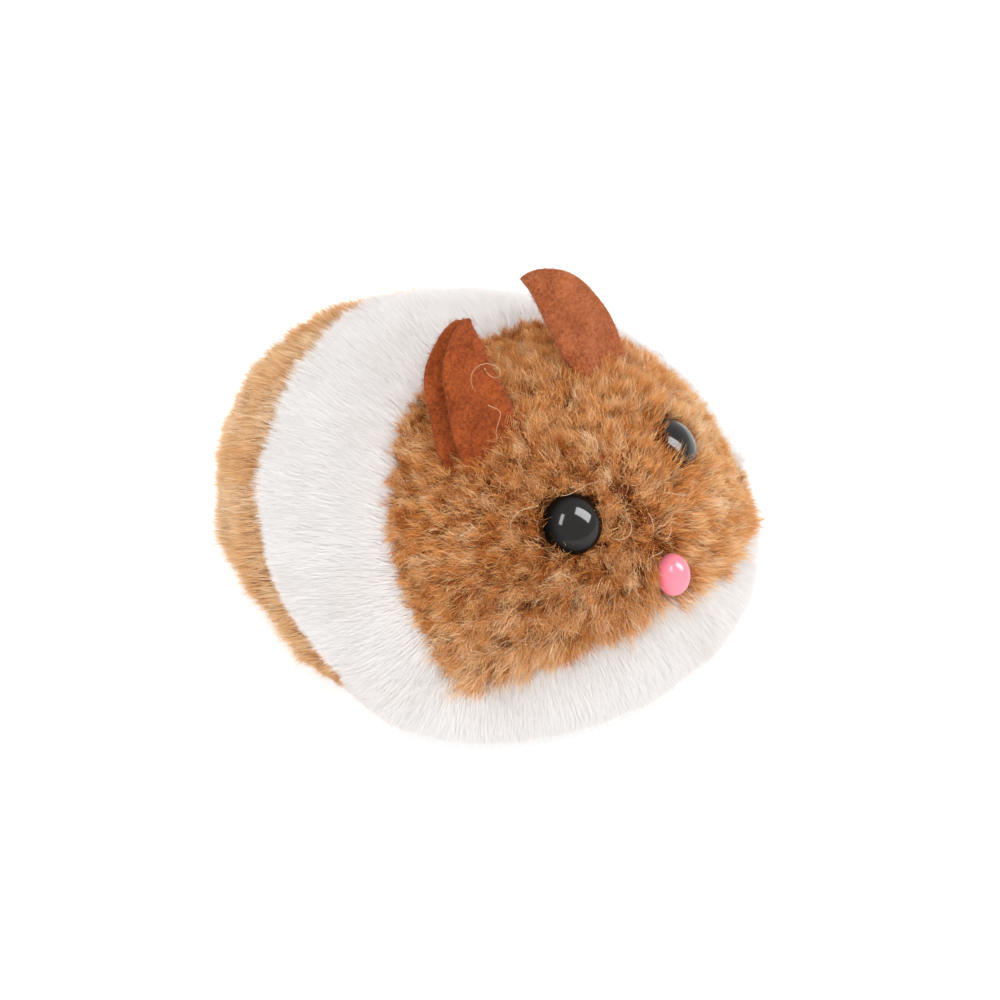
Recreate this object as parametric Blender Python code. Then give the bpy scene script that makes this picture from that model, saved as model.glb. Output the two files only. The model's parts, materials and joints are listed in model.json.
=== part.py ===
# Wind-up mouse toy: plush covers over a clockwork motor on four wheels.
# Metres, +Z up. The mouse faces -Y and its left is +X.
# The origin is the middle of the base tray's flat underside.
import math

import bmesh
import bpy
from mathutils import Matrix, Vector

# Fits between pieces
seat_gap = 0.0003
running_gap = 0.0005
cut_overrun = 0.003

# Plush body, measured over the middle of the pile
body_half_width = 0.0362
body_front_reach = 0.031
body_rear_reach = 0.0526
crown_forward = 0.0108
crown_height = 0.038
crown_lean = 0.002
widest_height = 0.0013
hem_depth = 0.0017
hem_turn_share = 0.88
plush_wall = 0.0032
seam_pinch = 0.0011
seam_pinch_reach = 0.0038

# Seams between the plush panels
face_seam_foot = 0.0371
face_seam_slope = 1.02
chin_seam_height = 0.0153
chin_seam_droop = 0.0085
rear_seam_foot = 0.0044
rear_seam_slope = 0.55

# Ears: one felt leaf each, folded along its inner edge
ear_length = 0.0138
ear_width = 0.0105
ear_root = 0.0022
ear_base_drop = 0.0042
ear_felt = 0.0011
ear_tip_width = 0.0011
ear_crease = 0.0008
ear_stations = 8
ear_turn = math.radians(-42)
ear_rise = math.radians(77)
ear_lean = math.radians(41)
ear_lift = math.radians(6.5)
ear_front_angle = math.radians(0)
ear_back_angle = math.radians(8)

# Safety eyes and nose
eye_radius = 0.0042
eye_dome = 0.0034
eye_recess = 0.0013
eye_rim = 0.0006
eye_shank_radius = 0.0011
eye_shank_length = 0.0062
shank_root_share = 0.75
eye_turn = math.radians(-63.8)
eye_crook = math.radians(2.3)
eye_rise = math.radians(47)
nose_half_width = 0.0024
nose_half_height = 0.003
nose_dome = 0.0031
nose_recess = 0.0001
nose_rise = math.radians(26.5)
washer_radius = 0.0036
washer_thickness = 0.0008

# Base tray
tray_half_width = 0.026
tray_half_length = 0.033
tray_floor = 0.0015
tray_rim_height = 0.005
tray_rim_wall = 0.0013
tray_lip = 0.0002
tray_corner_power = 2.8
ground_clearance = 0.0024
well_wall = 0.001
well_gap = 0.0006

# Wheels
drive_wheel_radius = 0.0075
drive_wheel_width = 0.0036
drive_wheel_offset = 0.0158
tyre_wall = 0.0016
tyre_shoulder = 0.0006
hub_boss_radius = 0.0026
hub_rim_wall = 0.001
hub_web = 0.0014
drive_axle_back = 0.0165
drive_axle_radius = 0.001
front_wheel_radius = 0.005
front_wheel_width = 0.003
front_wheel_offset = 0.0109
front_axle_forward = 0.022
front_axle_radius = 0.0008
axle_end_overhang = 0.0004

# Clockwork frame
plate_thickness = 0.001
plate_foot_gap = 0.0002
plate_front = 0.0075
plate_back = 0.0235
plate_top = 0.025
plate_back_shoulder = 0.016
plate_top_back = 0.014
plate_top_front = 0.004
plate_front_shoulder = 0.021
foot_length = 0.003
foot_width = 0.0046
pillar_radius = 0.0012
pillar_inset_front = 0.002
pillar_inset_back = 0.0032
pillar_inset_low = 0.0032
pillar_inset_edge = 0.0016
pillar_back_height = 0.006
pillar_inset_high = 0.0034
layer_gap = 0.0006

# Wheel train. Module is the pitch diameter for each tooth.
module = 0.0006
great_teeth = 26
second_pinion_teeth = 10
second_teeth = 22
axle_pinion_teeth = 9
escape_pinion_teeth = 8
tooth_backlash = 0.0002
wheel_addendum_share = 0.95
pinion_addendum_share = 0.6
dedendum_share = 1.2
great_thickness = 0.0014
second_thickness = 0.0012
pinion_overlap = 0.0003
arbor_radius = 0.0009
winding_arbor_back = 0.004
winding_arbor_height = 0.0105
winding_arbor_radius = 0.0013
escape_angle = math.radians(140)

# Mainspring, ratchet and click
spring_width = 0.006
spring_strip = 0.0004
spring_turns = 5
spring_outer_radius = 0.0078
spring_tail_angle = math.radians(60)
spring_hook_angle = math.radians(200)
ratchet_teeth = 12
ratchet_radius = 0.0034
ratchet_depth = 0.0008
ratchet_thickness = 0.0012
ratchet_hook_share = 0.05
saw_land_share = 0.12
click_strip = 0.0004
click_rivet_radius = 0.0008
click_rivet_offset = 0.0062
click_step_angle = math.radians(-12)

# Speed governor
escape_teeth = 12
escape_radius = 0.0036
escape_depth = 0.0012
escape_thickness = 0.001
escape_hook_share = 0.3
pallet_clearance = 0.0007
pallet_pin_distance = 0.0074
pallet_pin_radius = 0.0006
pallet_hub_radius = 0.0016
pallet_arm = 0.0009
pallet_pad = 0.0006
pallet_spread = math.radians(50)
pallet_turn = math.radians(185)

# Motor hood
hood_gap = 0.0005
hood_wall = 0.0012
hood_side_gap = 0.0015
hood_edge = 0.0012
hood_tab_length = 0.005
hood_tab_width = 0.005
hood_tab_thickness = 0.002
hood_tab_offset = 0.005

# Screws
screw_radius = 0.0009
screw_head_radius = 0.0017
screw_head_height = 0.0005
screw_hole_radius = 0.0012
hood_screw_reach = 0.0034
frame_screw_reach = 0.0032

# Winding key
key_shank_radius = 0.0024
key_shank_end = 0.0348
key_tang_radius = 0.0012
key_bore_depth = 0.008
key_wing_thickness = 0.0016
key_wing_reach = 0.0066
key_wing_half_span = 0.0072
key_wing_waist_turn = math.radians(50)
key_wing_hole_radius = 0.0017

# Round-off of facets
fine_segments = 20
small_segments = 12
pin_segments = 8
body_segments = 40
tyre_segments = 28


for old in list(bpy.data.objects):
    bpy.data.objects.remove(old, do_unlink=True)


# Helpers that make meshes and materials

def material(name, colour, roughness, metallic=0.0):
    found = bpy.data.materials.get(name)
    if found:
        return found
    made = bpy.data.materials.new(name)
    made.use_nodes = True
    shader = made.node_tree.nodes["Principled BSDF"]
    shader.inputs["Base Color"].default_value = (*colour, 1.0)
    shader.inputs["Roughness"].default_value = roughness
    shader.inputs["Metallic"].default_value = metallic
    return made


white_plush = material("white_plush", (0.87, 0.82, 0.79), 0.95)
brown_plush = material("brown_plush", (0.42, 0.18, 0.06), 0.95)
golden_plush = material("golden_plush", (0.66, 0.42, 0.22), 0.95)
ear_felt_brown = material("ear_felt", (0.44, 0.12, 0.04), 0.9)
eye_black = material("eye_black", (0.006, 0.005, 0.004), 0.08)
nose_pink = material("nose_pink", (0.93, 0.33, 0.42), 0.25)
washer_white = material("washer_white", (0.8, 0.8, 0.78), 0.5)
filling = material("polyester_filling", (0.85, 0.85, 0.83), 1.0)
tray_plastic = material("tray_plastic", (0.8, 0.79, 0.76), 0.45)
hood_plastic = material("hood_plastic", (0.7, 0.69, 0.66), 0.5)
gear_plastic = material("gear_plastic", (0.85, 0.83, 0.76), 0.4)
tyre_rubber = material("tyre_rubber", (0.03, 0.03, 0.03), 0.8)
steel = material("steel", (0.62, 0.62, 0.64), 0.3, 1.0)
spring_steel = material("spring_steel", (0.3, 0.32, 0.38), 0.3, 1.0)
brass = material("brass", (0.72, 0.5, 0.2), 0.3, 1.0)


def object_from(name, mesh_maker, look, origin=(0, 0, 0), smooth=True):
    # The mesh is written round the origin, which is then the object's location.
    mesh = bpy.data.meshes.new(name)
    shape = bmesh.new()
    mesh_maker(shape)
    bmesh.ops.recalc_face_normals(shape, faces=shape.faces)
    bmesh.ops.translate(shape, verts=shape.verts, vec=-Vector(origin))
    shape.to_mesh(mesh)
    shape.free()
    if smooth:
        mesh.shade_smooth()
        mesh.set_sharp_from_angle(angle=math.radians(35))
    made = bpy.data.objects.new(name, mesh)
    made.location = origin
    bpy.context.scene.collection.objects.link(made)
    if look:
        made.data.materials.append(look)
    return made


def cutter_from(name, mesh_maker):
    made = object_from(name, mesh_maker, None, smooth=False)
    made.hide_render = True
    made.display_type = "WIRE"
    return made


def combine(target, tool, operation):
    modifier = target.modifiers.new(tool.name, "BOOLEAN")
    modifier.operation = operation
    modifier.solver = "EXACT"
    modifier.object = tool


def cut(target, *tools):
    for tool in tools:
        combine(target, tool, "DIFFERENCE")


def join(target, *tools):
    for tool in tools:
        combine(target, tool, "UNION")


def prism(shape, loops, low, high, axis):
    # Fills the first outline less the others and extrudes it. Outline points are
    # (y, z) along X, (x, z) along Y and (x, y) along Z.
    place = {
        "X": lambda a, b: (low, a, b),
        "Y": lambda a, b: (a, low, b),
        "Z": lambda a, b: (a, b, low),
    }[axis]
    edges = []
    for loop in loops:
        verts = [shape.verts.new(place(a, b)) for a, b in loop]
        for index, vert in enumerate(verts):
            edges.append(shape.edges.new((vert, verts[(index + 1) % len(verts)])))
    filled = bmesh.ops.triangle_fill(shape, use_beauty=True, edges=edges)
    faces = [item for item in filled["geom"] if isinstance(item, bmesh.types.BMFace)]
    grown = bmesh.ops.extrude_face_region(shape, geom=faces)
    moved = [item for item in grown["geom"] if isinstance(item, bmesh.types.BMVert)]
    step = Vector((axis == "X", axis == "Y", axis == "Z")) * (high - low)
    bmesh.ops.translate(shape, verts=moved, vec=step)


def circle(centre, radius, segments, phase=0.0):
    points = []
    for index in range(segments):
        angle = phase + 2 * math.pi * index / segments
        points.append((centre[0] + radius * math.cos(angle), centre[1] + radius * math.sin(angle)))
    return points


def turned(shape, profile, frame, segments, closed=False):
    # Revolves (along, radius) points round the frame's Z axis. A radius of zero is one point.
    rings = []
    for along, radius in profile:
        if radius == 0:
            rings.append([shape.verts.new(frame @ Vector((0, 0, along)))])
            continue
        ring = []
        for index in range(segments):
            angle = 2 * math.pi * index / segments
            point = Vector((radius * math.cos(angle), radius * math.sin(angle), along))
            ring.append(shape.verts.new(frame @ point))
        rings.append(ring)
    pairs = list(zip(rings, rings[1:]))
    if closed:
        pairs.append((rings[-1], rings[0]))
    for first, second in pairs:
        for index in range(segments):
            after = (index + 1) % segments
            corners = [first[index % len(first)], first[after % len(first)]]
            corners += [second[after % len(second)], second[index % len(second)]]
            face = list(dict.fromkeys(corners))
            if len(face) > 2:
                shape.faces.new(face)


def along_x(y=0.0, z=0.0, x=0.0):
    # A frame whose Z axis is the world's X axis.
    return Matrix.Translation((x, y, z)) @ Matrix.Rotation(math.pi / 2, 4, "Y")


def rod(shape, low, high, radius, frame, segments):
    turned(shape, [(low, 0), (low, radius), (high, radius), (high, 0)], frame, segments)


def tube(shape, low, high, inner, outer, frame, segments):
    profile = [(low, inner), (low, outer), (high, outer), (high, inner)]
    turned(shape, profile, frame, segments, closed=True)


# Plush form

def seam_distances(point):
    face_run = math.hypot(1, face_seam_slope)
    face = (point.y + face_seam_foot - face_seam_slope * point.z) / face_run
    rear_run = math.hypot(1, rear_seam_slope)
    rear = (point.y - rear_seam_foot - rear_seam_slope * point.z) / rear_run
    chin = point.z - chin_seam(point.x)
    return face, rear, chin


def chin_seam(x):
    return chin_seam_height - chin_seam_droop * (x / body_half_width) ** 2


def plush_point(turn, rise, inset):
    # The body is a dome. It is highest at the crown and turns in below its widest level.
    reach = body_front_reach if math.sin(turn) < 0 else body_rear_reach
    top = crown_height - inset - widest_height
    if rise < 0:
        share = hem_turn_share + (1 - hem_turn_share) * math.cos(rise)
        height = (widest_height + hem_depth) * math.sin(rise)
        lean = 0
    else:
        share = max(math.cos(rise), 0)
        height = top * math.sin(rise)
        lean = crown_lean * math.sin(rise) ** 2
    x = share * (body_half_width - inset) * math.cos(turn)
    y = share * (reach - inset) * math.sin(turn) + lean - crown_forward
    return Vector((x, y, widest_height + height))


def pinched_point(turn, rise, inset):
    # Each seam draws the plush in a little, so the panels swell between the seams.
    point = plush_point(turn, rise, inset)
    face, rear, chin = seam_distances(point)
    pull = math.exp(-((face / seam_pinch_reach) ** 2)) if chin > 0 else 0
    pull += math.exp(-((rear / seam_pinch_reach) ** 2))
    pull += math.exp(-((chin / seam_pinch_reach) ** 2)) if face < 0 else 0
    middle = Vector((0, -crown_forward, widest_height))
    inward = (middle - point).normalized()
    return point + inward * seam_pinch * min(pull, 1) * max(math.cos(rise), 0)


def dome(shape, inset, rises, segments, point_at):
    rings = []
    for rise in rises:
        ring = []
        for index in range(segments):
            ring.append(shape.verts.new(point_at(2 * math.pi * index / segments, rise, inset)))
        rings.append(ring)
    crown = shape.verts.new(point_at(0, math.pi / 2, inset))
    for lower, upper in zip(rings, rings[1:]):
        for index in range(segments):
            after = (index + 1) % segments
            shape.faces.new((lower[index], lower[after], upper[after], upper[index]))
    for index in range(segments):
        shape.faces.new((rings[-1][index], rings[-1][(index + 1) % segments], crown))
    shape.faces.new(list(reversed(rings[0])))


outer_rises = [math.radians(angle) for angle in (-90, -55, -25, 0)]
outer_rises += [math.radians(7.5 * step) for step in range(1, 12)]
inner_rises = [math.radians(10 * step) for step in range(0, 9)]


def seam_prism(shape, stations, outline_at):
    # Lofts an outline across the body from side to side.
    rings = []
    for x in stations:
        rings.append([shape.verts.new((x, y, z)) for y, z in outline_at(x)])
    for first, second in zip(rings, rings[1:]):
        for index in range(len(first)):
            after = (index + 1) % len(first)
            shape.faces.new((first[index], first[after], second[after], second[index]))
    shape.faces.new(rings[0])
    shape.faces.new(list(reversed(rings[-1])))


beyond_side = body_half_width + cut_overrun
beyond_front = -crown_forward - body_front_reach - cut_overrun
beyond_back = body_rear_reach - crown_forward + cut_overrun
beyond_top = crown_height + cut_overrun
across = [beyond_side * (step / 5 - 1) for step in range(11)]


def face_outline(x, grow):
    low = chin_seam(x) - grow
    slide = grow * math.hypot(1, face_seam_slope)
    foot = face_seam_slope * low - face_seam_foot + slide
    top = face_seam_slope * beyond_top - face_seam_foot + slide
    return [(foot, low), (beyond_front, low), (beyond_front, beyond_top), (top, beyond_top)]


def rear_outline(x, grow):
    low = -hem_depth - cut_overrun
    slide = grow * math.hypot(1, rear_seam_slope)
    foot = rear_seam_slope * low + rear_seam_foot - slide
    top = rear_seam_slope * beyond_top + rear_seam_foot - slide
    return [(foot, low), (top, beyond_top), (beyond_back, beyond_top), (beyond_back, low)]


def face_zone(name, grow):
    return cutter_from(name, lambda s: seam_prism(s, across, lambda x: face_outline(x, grow)))


def rear_zone(name, grow):
    ends = [-beyond_side, beyond_side]
    return cutter_from(name, lambda s: seam_prism(s, ends, lambda x: rear_outline(x, grow)))


def tray_outline(grow, segments=32):
    # A squarish oval.
    points = []
    for index in range(segments):
        angle = 2 * math.pi * index / segments
        c, s = math.cos(angle), math.sin(angle)
        size = (abs(c) ** tray_corner_power + abs(s) ** tray_corner_power) ** (-1 / tray_corner_power)
        points.append(((tray_half_width + grow) * size * c, (tray_half_length + grow) * size * s))
    return points


# Places of the wheel train, as (y, z)
winding_place = Vector((winding_arbor_back, winding_arbor_height))
axle_place = Vector((drive_axle_back, drive_wheel_radius - ground_clearance))
front_place = Vector((-front_axle_forward, front_wheel_radius - ground_clearance))
great_radius = module * great_teeth / 2
second_radius = module * second_teeth / 2
great_to_second = great_radius + module * second_pinion_teeth / 2
second_to_axle = second_radius + module * axle_pinion_teeth / 2
second_to_escape = second_radius + module * escape_pinion_teeth / 2


def third_corner(first, second, from_first, from_second):
    # The point above the line that lies at both distances.
    line = second - first
    along = (from_first**2 - from_second**2 + line.length**2) / (2 * line.length)
    rise = math.sqrt(from_first**2 - along**2)
    way = line.normalized()
    return first + way * along + Vector((-way.y, way.x)) * rise


second_place = third_corner(winding_place, axle_place, great_to_second, second_to_axle)
escape_way = Vector((math.cos(escape_angle), math.sin(escape_angle)))
escape_place = second_place + escape_way * second_to_escape
pallet_way = Vector((math.cos(pallet_turn), math.sin(pallet_turn)))
pallet_place = escape_place + pallet_way * pallet_pin_distance

# Layers of the clockwork along X, from the right plate to the left one
layer_widths = [spring_width, ratchet_thickness, great_thickness, second_thickness, escape_thickness]
inside_width = sum(layer_widths) + layer_gap * (len(layer_widths) + 1) + layer_gap
right_face = -inside_width / 2
left_face = inside_width / 2
spring_low = right_face + layer_gap
spring_high = spring_low + spring_width
ratchet_low = spring_high + layer_gap
ratchet_high = ratchet_low + ratchet_thickness
great_low = ratchet_high + layer_gap
great_high = great_low + great_thickness
second_low = great_high + 2 * layer_gap
second_high = second_low + second_thickness
escape_low = second_high + layer_gap
escape_high = escape_low + escape_thickness
plate_low = tray_floor + seat_gap
hood_half_width = left_face + plate_thickness + hood_side_gap + hood_wall


# Plush covers

body_cavity = cutter_from(
    "body_cavity", lambda s: dome(s, plush_wall, inner_rises, body_segments, plush_point)
)
tray_opening = cutter_from(
    "tray_opening",
    lambda s: prism(
        s, [tray_outline(seat_gap)], -hem_depth - cut_overrun, widest_height + cut_overrun, "Z"
    ),
)


def key_passage(shape):
    start = hood_half_width - hood_wall - cut_overrun
    frame = along_x(*winding_place)
    rod(shape, start, key_shank_end + cut_overrun, key_shank_radius + running_gap, frame, small_segments)


key_hole = cutter_from("key_hole", key_passage)


def surface_frame(turn, rise, inset):
    # A frame on the plush surface, its Z axis pointing out of the body.
    step = math.radians(1)
    here = plush_point(turn, rise, inset)
    around = plush_point(turn + step, rise, inset) - plush_point(turn - step, rise, inset)
    upward = plush_point(turn, rise + step, inset) - plush_point(turn, rise - step, inset)
    out = around.cross(upward).normalized()
    side = around.normalized()
    up = out.cross(side)
    basis = Matrix((side, up, out)).transposed().to_4x4()
    return Matrix.Translation(here) @ basis


def mirror_turn(turn, side):
    return turn if side > 0 else math.pi - turn


def eye_frame(side):
    # The pair sits a little crooked, as it does on the real one.
    turn = eye_turn + eye_crook * side
    return surface_frame(mirror_turn(turn, side), eye_rise, eye_recess)


nose_frame = surface_frame(-math.pi / 2, nose_rise, nose_recess)


def button_seat(shape, frame, half_width, half_height, recess):
    # The pocket that the pile leaves round an eye or nose, its shank's hole and its washer's room.
    squash = Matrix.Diagonal((half_width, half_height, 1, 1))
    rod(shape, -seat_gap, recess + cut_overrun, 1 + seat_gap / half_width, frame @ squash, small_segments)


def shank_passage(shape, frame):
    end = -eye_shank_length - seat_gap
    rod(shape, end, cut_overrun, eye_shank_radius + seat_gap, frame, pin_segments)


def washer_room(shape, frame, recess):
    top = recess - plush_wall + seat_gap
    rod(shape, -eye_shank_length - seat_gap, top, washer_radius + seat_gap, frame, small_segments)


def all_button_seats(shape):
    for side in (1, -1):
        button_seat(shape, eye_frame(side), eye_radius, eye_radius, eye_recess)
    button_seat(shape, nose_frame, nose_half_width, nose_half_height, nose_recess)


def all_shank_passages(shape):
    for side in (1, -1):
        shank_passage(shape, eye_frame(side))
    shank_passage(shape, nose_frame)


def all_washer_rooms(shape):
    for side in (1, -1):
        washer_room(shape, eye_frame(side), eye_recess)
    washer_room(shape, nose_frame, nose_recess)


button_pockets = cutter_from("button_pockets", all_button_seats)
shank_holes = cutter_from("shank_holes", all_shank_passages)
washer_pockets = cutter_from("washer_pockets", all_washer_rooms)


# Ears

def ear_axes(side):
    base = plush_point(mirror_turn(ear_turn, side), ear_rise, 0)
    out = Vector((side * math.cos(ear_lift), 0, math.sin(ear_lift)))
    up = Vector((0, math.sin(ear_lean), math.cos(ear_lean)))
    ahead = up.cross(out) * side
    return base, out, up, ahead.normalized()


def ear_leaf(shape, side, grow, low_share, high_share):
    # A folded leaf: both halves leave the fold at the inner edge and narrow to the tip.
    base, out, up, ahead = ear_axes(side)
    half = ear_felt / 2 + grow
    start = ear_felt / 2 + ear_crease / 2
    front = out * math.cos(ear_front_angle) + ahead * math.sin(ear_front_angle)
    front_normal = ahead * math.cos(ear_front_angle) - out * math.sin(ear_front_angle)
    back = out * math.cos(ear_back_angle) - ahead * math.sin(ear_back_angle)
    back_normal = -ahead * math.cos(ear_back_angle) - out * math.sin(ear_back_angle)
    rings = []
    for step in range(ear_stations + 1):
        share = low_share + (high_share - low_share) * step / ear_stations
        width = ear_width * math.sqrt(max(1 - max(share, 0) ** 2, 0))
        width = max(width, ear_tip_width) + grow
        drop = Vector((0, 0, ear_base_drop)) * (1 - max(share, 0)) ** 2
        centre = base + up * ear_length * share
        front_start = centre + ahead * start
        back_start = centre - ahead * start
        ring = [
            front_start + front * width + front_normal * half - drop,
            front_start - out * half + front_normal * half,
            back_start - out * half + back_normal * half,
            back_start + back * width + back_normal * half - drop,
            back_start + back * width - back_normal * half - drop,
            back_start + out * half - back_normal * half,
            front_start + out * half - front_normal * half,
            front_start + front * width - front_normal * half - drop,
        ]
        rings.append([shape.verts.new(point) for point in ring])
    for first, second in zip(rings, rings[1:]):
        for index in range(len(first)):
            after = (index + 1) % len(first)
            shape.faces.new((first[index], first[after], second[after], second[index]))
    shape.faces.new(list(reversed(rings[0])))
    shape.faces.new(rings[-1])


root_share = ear_root / ear_length
slot_share = (ear_root + seat_gap) / ear_length
slot_top_share = (ear_root + cut_overrun) / ear_length
ear_slots = []
for ear_name, side in (("left_ear", 1), ("right_ear", -1)):
    object_from(ear_name, lambda s: ear_leaf(s, side, 0, -root_share, 1), ear_felt_brown)
    slot = cutter_from(
        ear_name + "_slot", lambda s: ear_leaf(s, side, seat_gap, -slot_share, slot_top_share)
    )
    ear_slots.append(slot)


# The three plush panels are one dome cut along its seams.

def plush_panel(name, look):
    return object_from(name, lambda s: dome(s, 0, outer_rises, body_segments, pinched_point), look)


face_cover = plush_panel("face_cover", brown_plush)
combine(face_cover, face_zone("face_zone", 0), "INTERSECT")
cut(face_cover, body_cavity, *ear_slots, shank_holes, button_pockets, washer_pockets)

rear_cover = plush_panel("rear_cover", golden_plush)
combine(rear_cover, rear_zone("rear_zone", 0), "INTERSECT")
cut(rear_cover, body_cavity, tray_opening)

body_cover = plush_panel("body_cover", white_plush)
cut(body_cover, face_zone("face_zone_wide", seat_gap), rear_zone("rear_zone_wide", seat_gap))
cut(body_cover, body_cavity, tray_opening, key_hole, *ear_slots)
cut(body_cover, button_pockets, shank_holes, washer_pockets)


# Eyes and nose

def eye_solid(shape, frame, half_width, half_height, height):
    # A dome on a short rim.
    squash = Matrix.Diagonal((half_width, half_height, 1, 1))
    profile = [(0, 0), (0, 1), (eye_rim, 1)]
    steps = 5
    for step in range(1, steps):
        angle = math.pi / 2 * step / steps
        profile.append((eye_rim + (height - eye_rim) * math.sin(angle), math.cos(angle)))
    profile.append((height, 0))
    turned(shape, profile, frame @ squash, fine_segments)


def shank_solid(shape, frame):
    # A stem with ridges that the lock washer's teeth catch on.
    profile = [(eye_rim / 2, 0), (eye_rim / 2, eye_shank_radius)]
    ridges = 4
    pitch = (eye_shank_length - plush_wall) / ridges
    for ridge in range(ridges):
        start = -plush_wall - pitch * ridge
        profile.append((start, eye_shank_radius))
        profile.append((start, eye_shank_radius * shank_root_share))
        profile.append((start - pitch / 2, eye_shank_radius * shank_root_share))
        profile.append((start - pitch / 2, eye_shank_radius))
    profile += [(-eye_shank_length, eye_shank_radius), (-eye_shank_length, 0)]
    turned(shape, profile, frame, pin_segments)


def safety_button(name, look, frame, half_width, half_height, height):
    made = object_from(
        name, lambda s: eye_solid(s, frame, half_width, half_height, height), look, frame.translation
    )
    join(made, cutter_from(name + "_shank", lambda s: shank_solid(s, frame)))


def lock_washer(name, frame, recess):
    high = recess - plush_wall
    low = high - washer_thickness
    bore = eye_shank_radius + seat_gap
    object_from(
        name,
        lambda s: tube(s, low, high, bore, washer_radius, frame, small_segments),
        washer_white,
        frame.translation,
    )


for side_name, side in (("left", 1), ("right", -1)):
    safety_button(side_name + "_eye", eye_black, eye_frame(side), eye_radius, eye_radius, eye_dome)
    lock_washer(side_name + "_eye_washer", eye_frame(side), eye_recess)
safety_button("nose", nose_pink, nose_frame, nose_half_width, nose_half_height, nose_dome)
lock_washer("nose_washer", nose_frame, nose_recess)


# Base tray

def well_outline(place, radius, foot):
    # An arch over a wheel, open at its foot.
    points = [(place.x - radius, foot), (place.x + radius, foot)]
    steps = 12
    for step in range(steps + 1):
        angle = math.pi * step / steps
        points.append((place.x + radius * math.cos(angle), place.y + radius * math.sin(angle)))
    return points


wells = []
for side in (1, -1):
    wells.append((axle_place, drive_wheel_radius, drive_wheel_offset * side, drive_wheel_width))
    wells.append((front_place, front_wheel_radius, front_wheel_offset * side, front_wheel_width))


def well_solids(shape, grow, foot):
    for place, radius, offset, width in wells:
        half = width / 2 + well_gap + grow
        outline = well_outline(place, radius + well_gap + grow, foot)
        prism(shape, [outline], offset - half, offset + half, "X")


def screw_places():
    hood_front = -plate_front - hood_gap - hood_wall - hood_tab_length / 2
    hood_back = plate_back + hood_gap + hood_wall + hood_tab_length / 2
    for x in (-hood_tab_offset, hood_tab_offset):
        yield "hood", x, hood_front
        yield "hood", x, hood_back
    for x in (right_face + foot_width / 2, left_face - foot_width / 2):
        yield "frame", x, -plate_front + foot_length / 2
        yield "frame", x, plate_back - foot_length / 2


def screw_solid(shape, place, reach):
    head = screw_head_height
    profile = [(0, 0), (0, screw_head_radius), (head, screw_head_radius), (head, screw_radius)]
    profile += [(reach - screw_radius, screw_radius), (reach, 0)]
    turned(shape, profile, Matrix.Translation(place), pin_segments)


def screw_seats(shape):
    seat = screw_head_height + seat_gap
    top = plate_low + hood_tab_thickness + cut_overrun
    profile = [(-cut_overrun, 0), (-cut_overrun, screw_head_radius + seat_gap)]
    profile += [(seat, screw_head_radius + seat_gap), (seat, screw_hole_radius)]
    profile += [(top, screw_hole_radius), (top, 0)]
    for found, x, y in screw_places():
        turned(shape, profile, Matrix.Translation((x, y, 0)), pin_segments)


def axle_bores(shape):
    inner = drive_wheel_offset - drive_wheel_width / 2
    bore = drive_axle_radius + seat_gap
    rod(shape, -inner, inner, bore, along_x(*axle_place), small_segments)
    inner = front_wheel_offset - front_wheel_width / 2
    bore = front_axle_radius + seat_gap
    rod(shape, -inner, inner, bore, along_x(*front_place), small_segments)


base_tray = object_from(
    "base_tray", lambda s: prism(s, [tray_outline(0)], 0, tray_floor, "Z"), tray_plastic
)


def rim_solid(shape):
    loops = [tray_outline(-tray_lip), tray_outline(-tray_lip - tray_rim_wall)]
    prism(shape, loops, tray_floor / 2, tray_rim_height, "Z")


tray_rim = cutter_from("tray_rim", rim_solid)
well_shells = cutter_from("well_shells", lambda s: well_solids(s, well_wall, tray_floor / 3))
well_rooms = cutter_from("well_rooms", lambda s: well_solids(s, 0, -cut_overrun))
tray_screw_seats = cutter_from("tray_screw_seats", screw_seats)
tray_axle_bores = cutter_from("tray_axle_bores", axle_bores)
join(base_tray, tray_rim, well_shells)
cut(base_tray, well_rooms, tray_screw_seats, tray_axle_bores)

for kind, reach in (("hood", hood_screw_reach), ("frame", frame_screw_reach)):
    places = [(x, y, 0) for found, x, y in screw_places() if found == kind]
    for number, place in enumerate(places, 1):
        object_from(f"{kind}_screw_{number}", lambda s: screw_solid(s, place, reach), steel, place)


# Motor hood

def plate_outline(grow):
    # The side plates' outline as (y, z), which the hood follows at a distance.
    return [
        (-plate_front - grow, plate_low + plate_foot_gap),
        (plate_back + grow, plate_low + plate_foot_gap),
        (plate_back + grow, plate_back_shoulder + grow / 2),
        (plate_top_back + grow / 2, plate_top + grow),
        (-plate_top_front - grow / 2, plate_top + grow),
        (-plate_front - grow, plate_front_shoulder + grow / 2),
    ]


def hood_block(shape, grow, half_width, foot):
    outline = plate_outline(grow)
    outline[0] = (outline[0][0], foot)
    outline[1] = (outline[1][0], foot)
    prism(shape, [outline], -half_width, half_width, "X")


def hood_tabs(shape):
    half_width = hood_tab_width / 2
    half_length = hood_tab_length / 2
    for found, x, y in screw_places():
        if found != "hood":
            continue
        low = y - half_length - (hood_wall / 2 if y > 0 else 0)
        high = y + half_length + (hood_wall / 2 if y < 0 else 0)
        corners = [(x - half_width, low), (x + half_width, low)]
        corners += [(x + half_width, high), (x - half_width, high)]
        prism(shape, [corners], plate_low, plate_low + hood_tab_thickness, "Z")


motor_hood = object_from(
    "motor_hood",
    lambda s: hood_block(s, hood_gap + hood_wall, hood_half_width, plate_low),
    hood_plastic,
)
edge = motor_hood.modifiers.new("edge", "BEVEL")
edge.width = hood_edge
edge.segments = 2
edge.limit_method = "ANGLE"
hood_foot_tabs = cutter_from("hood_foot_tabs", hood_tabs)
hood_room = cutter_from(
    "hood_room", lambda s: hood_block(s, hood_gap, hood_half_width - hood_wall, -cut_overrun)
)
join(motor_hood, hood_foot_tabs)
cut(motor_hood, hood_room, tray_screw_seats, key_hole, tray_axle_bores)


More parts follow.
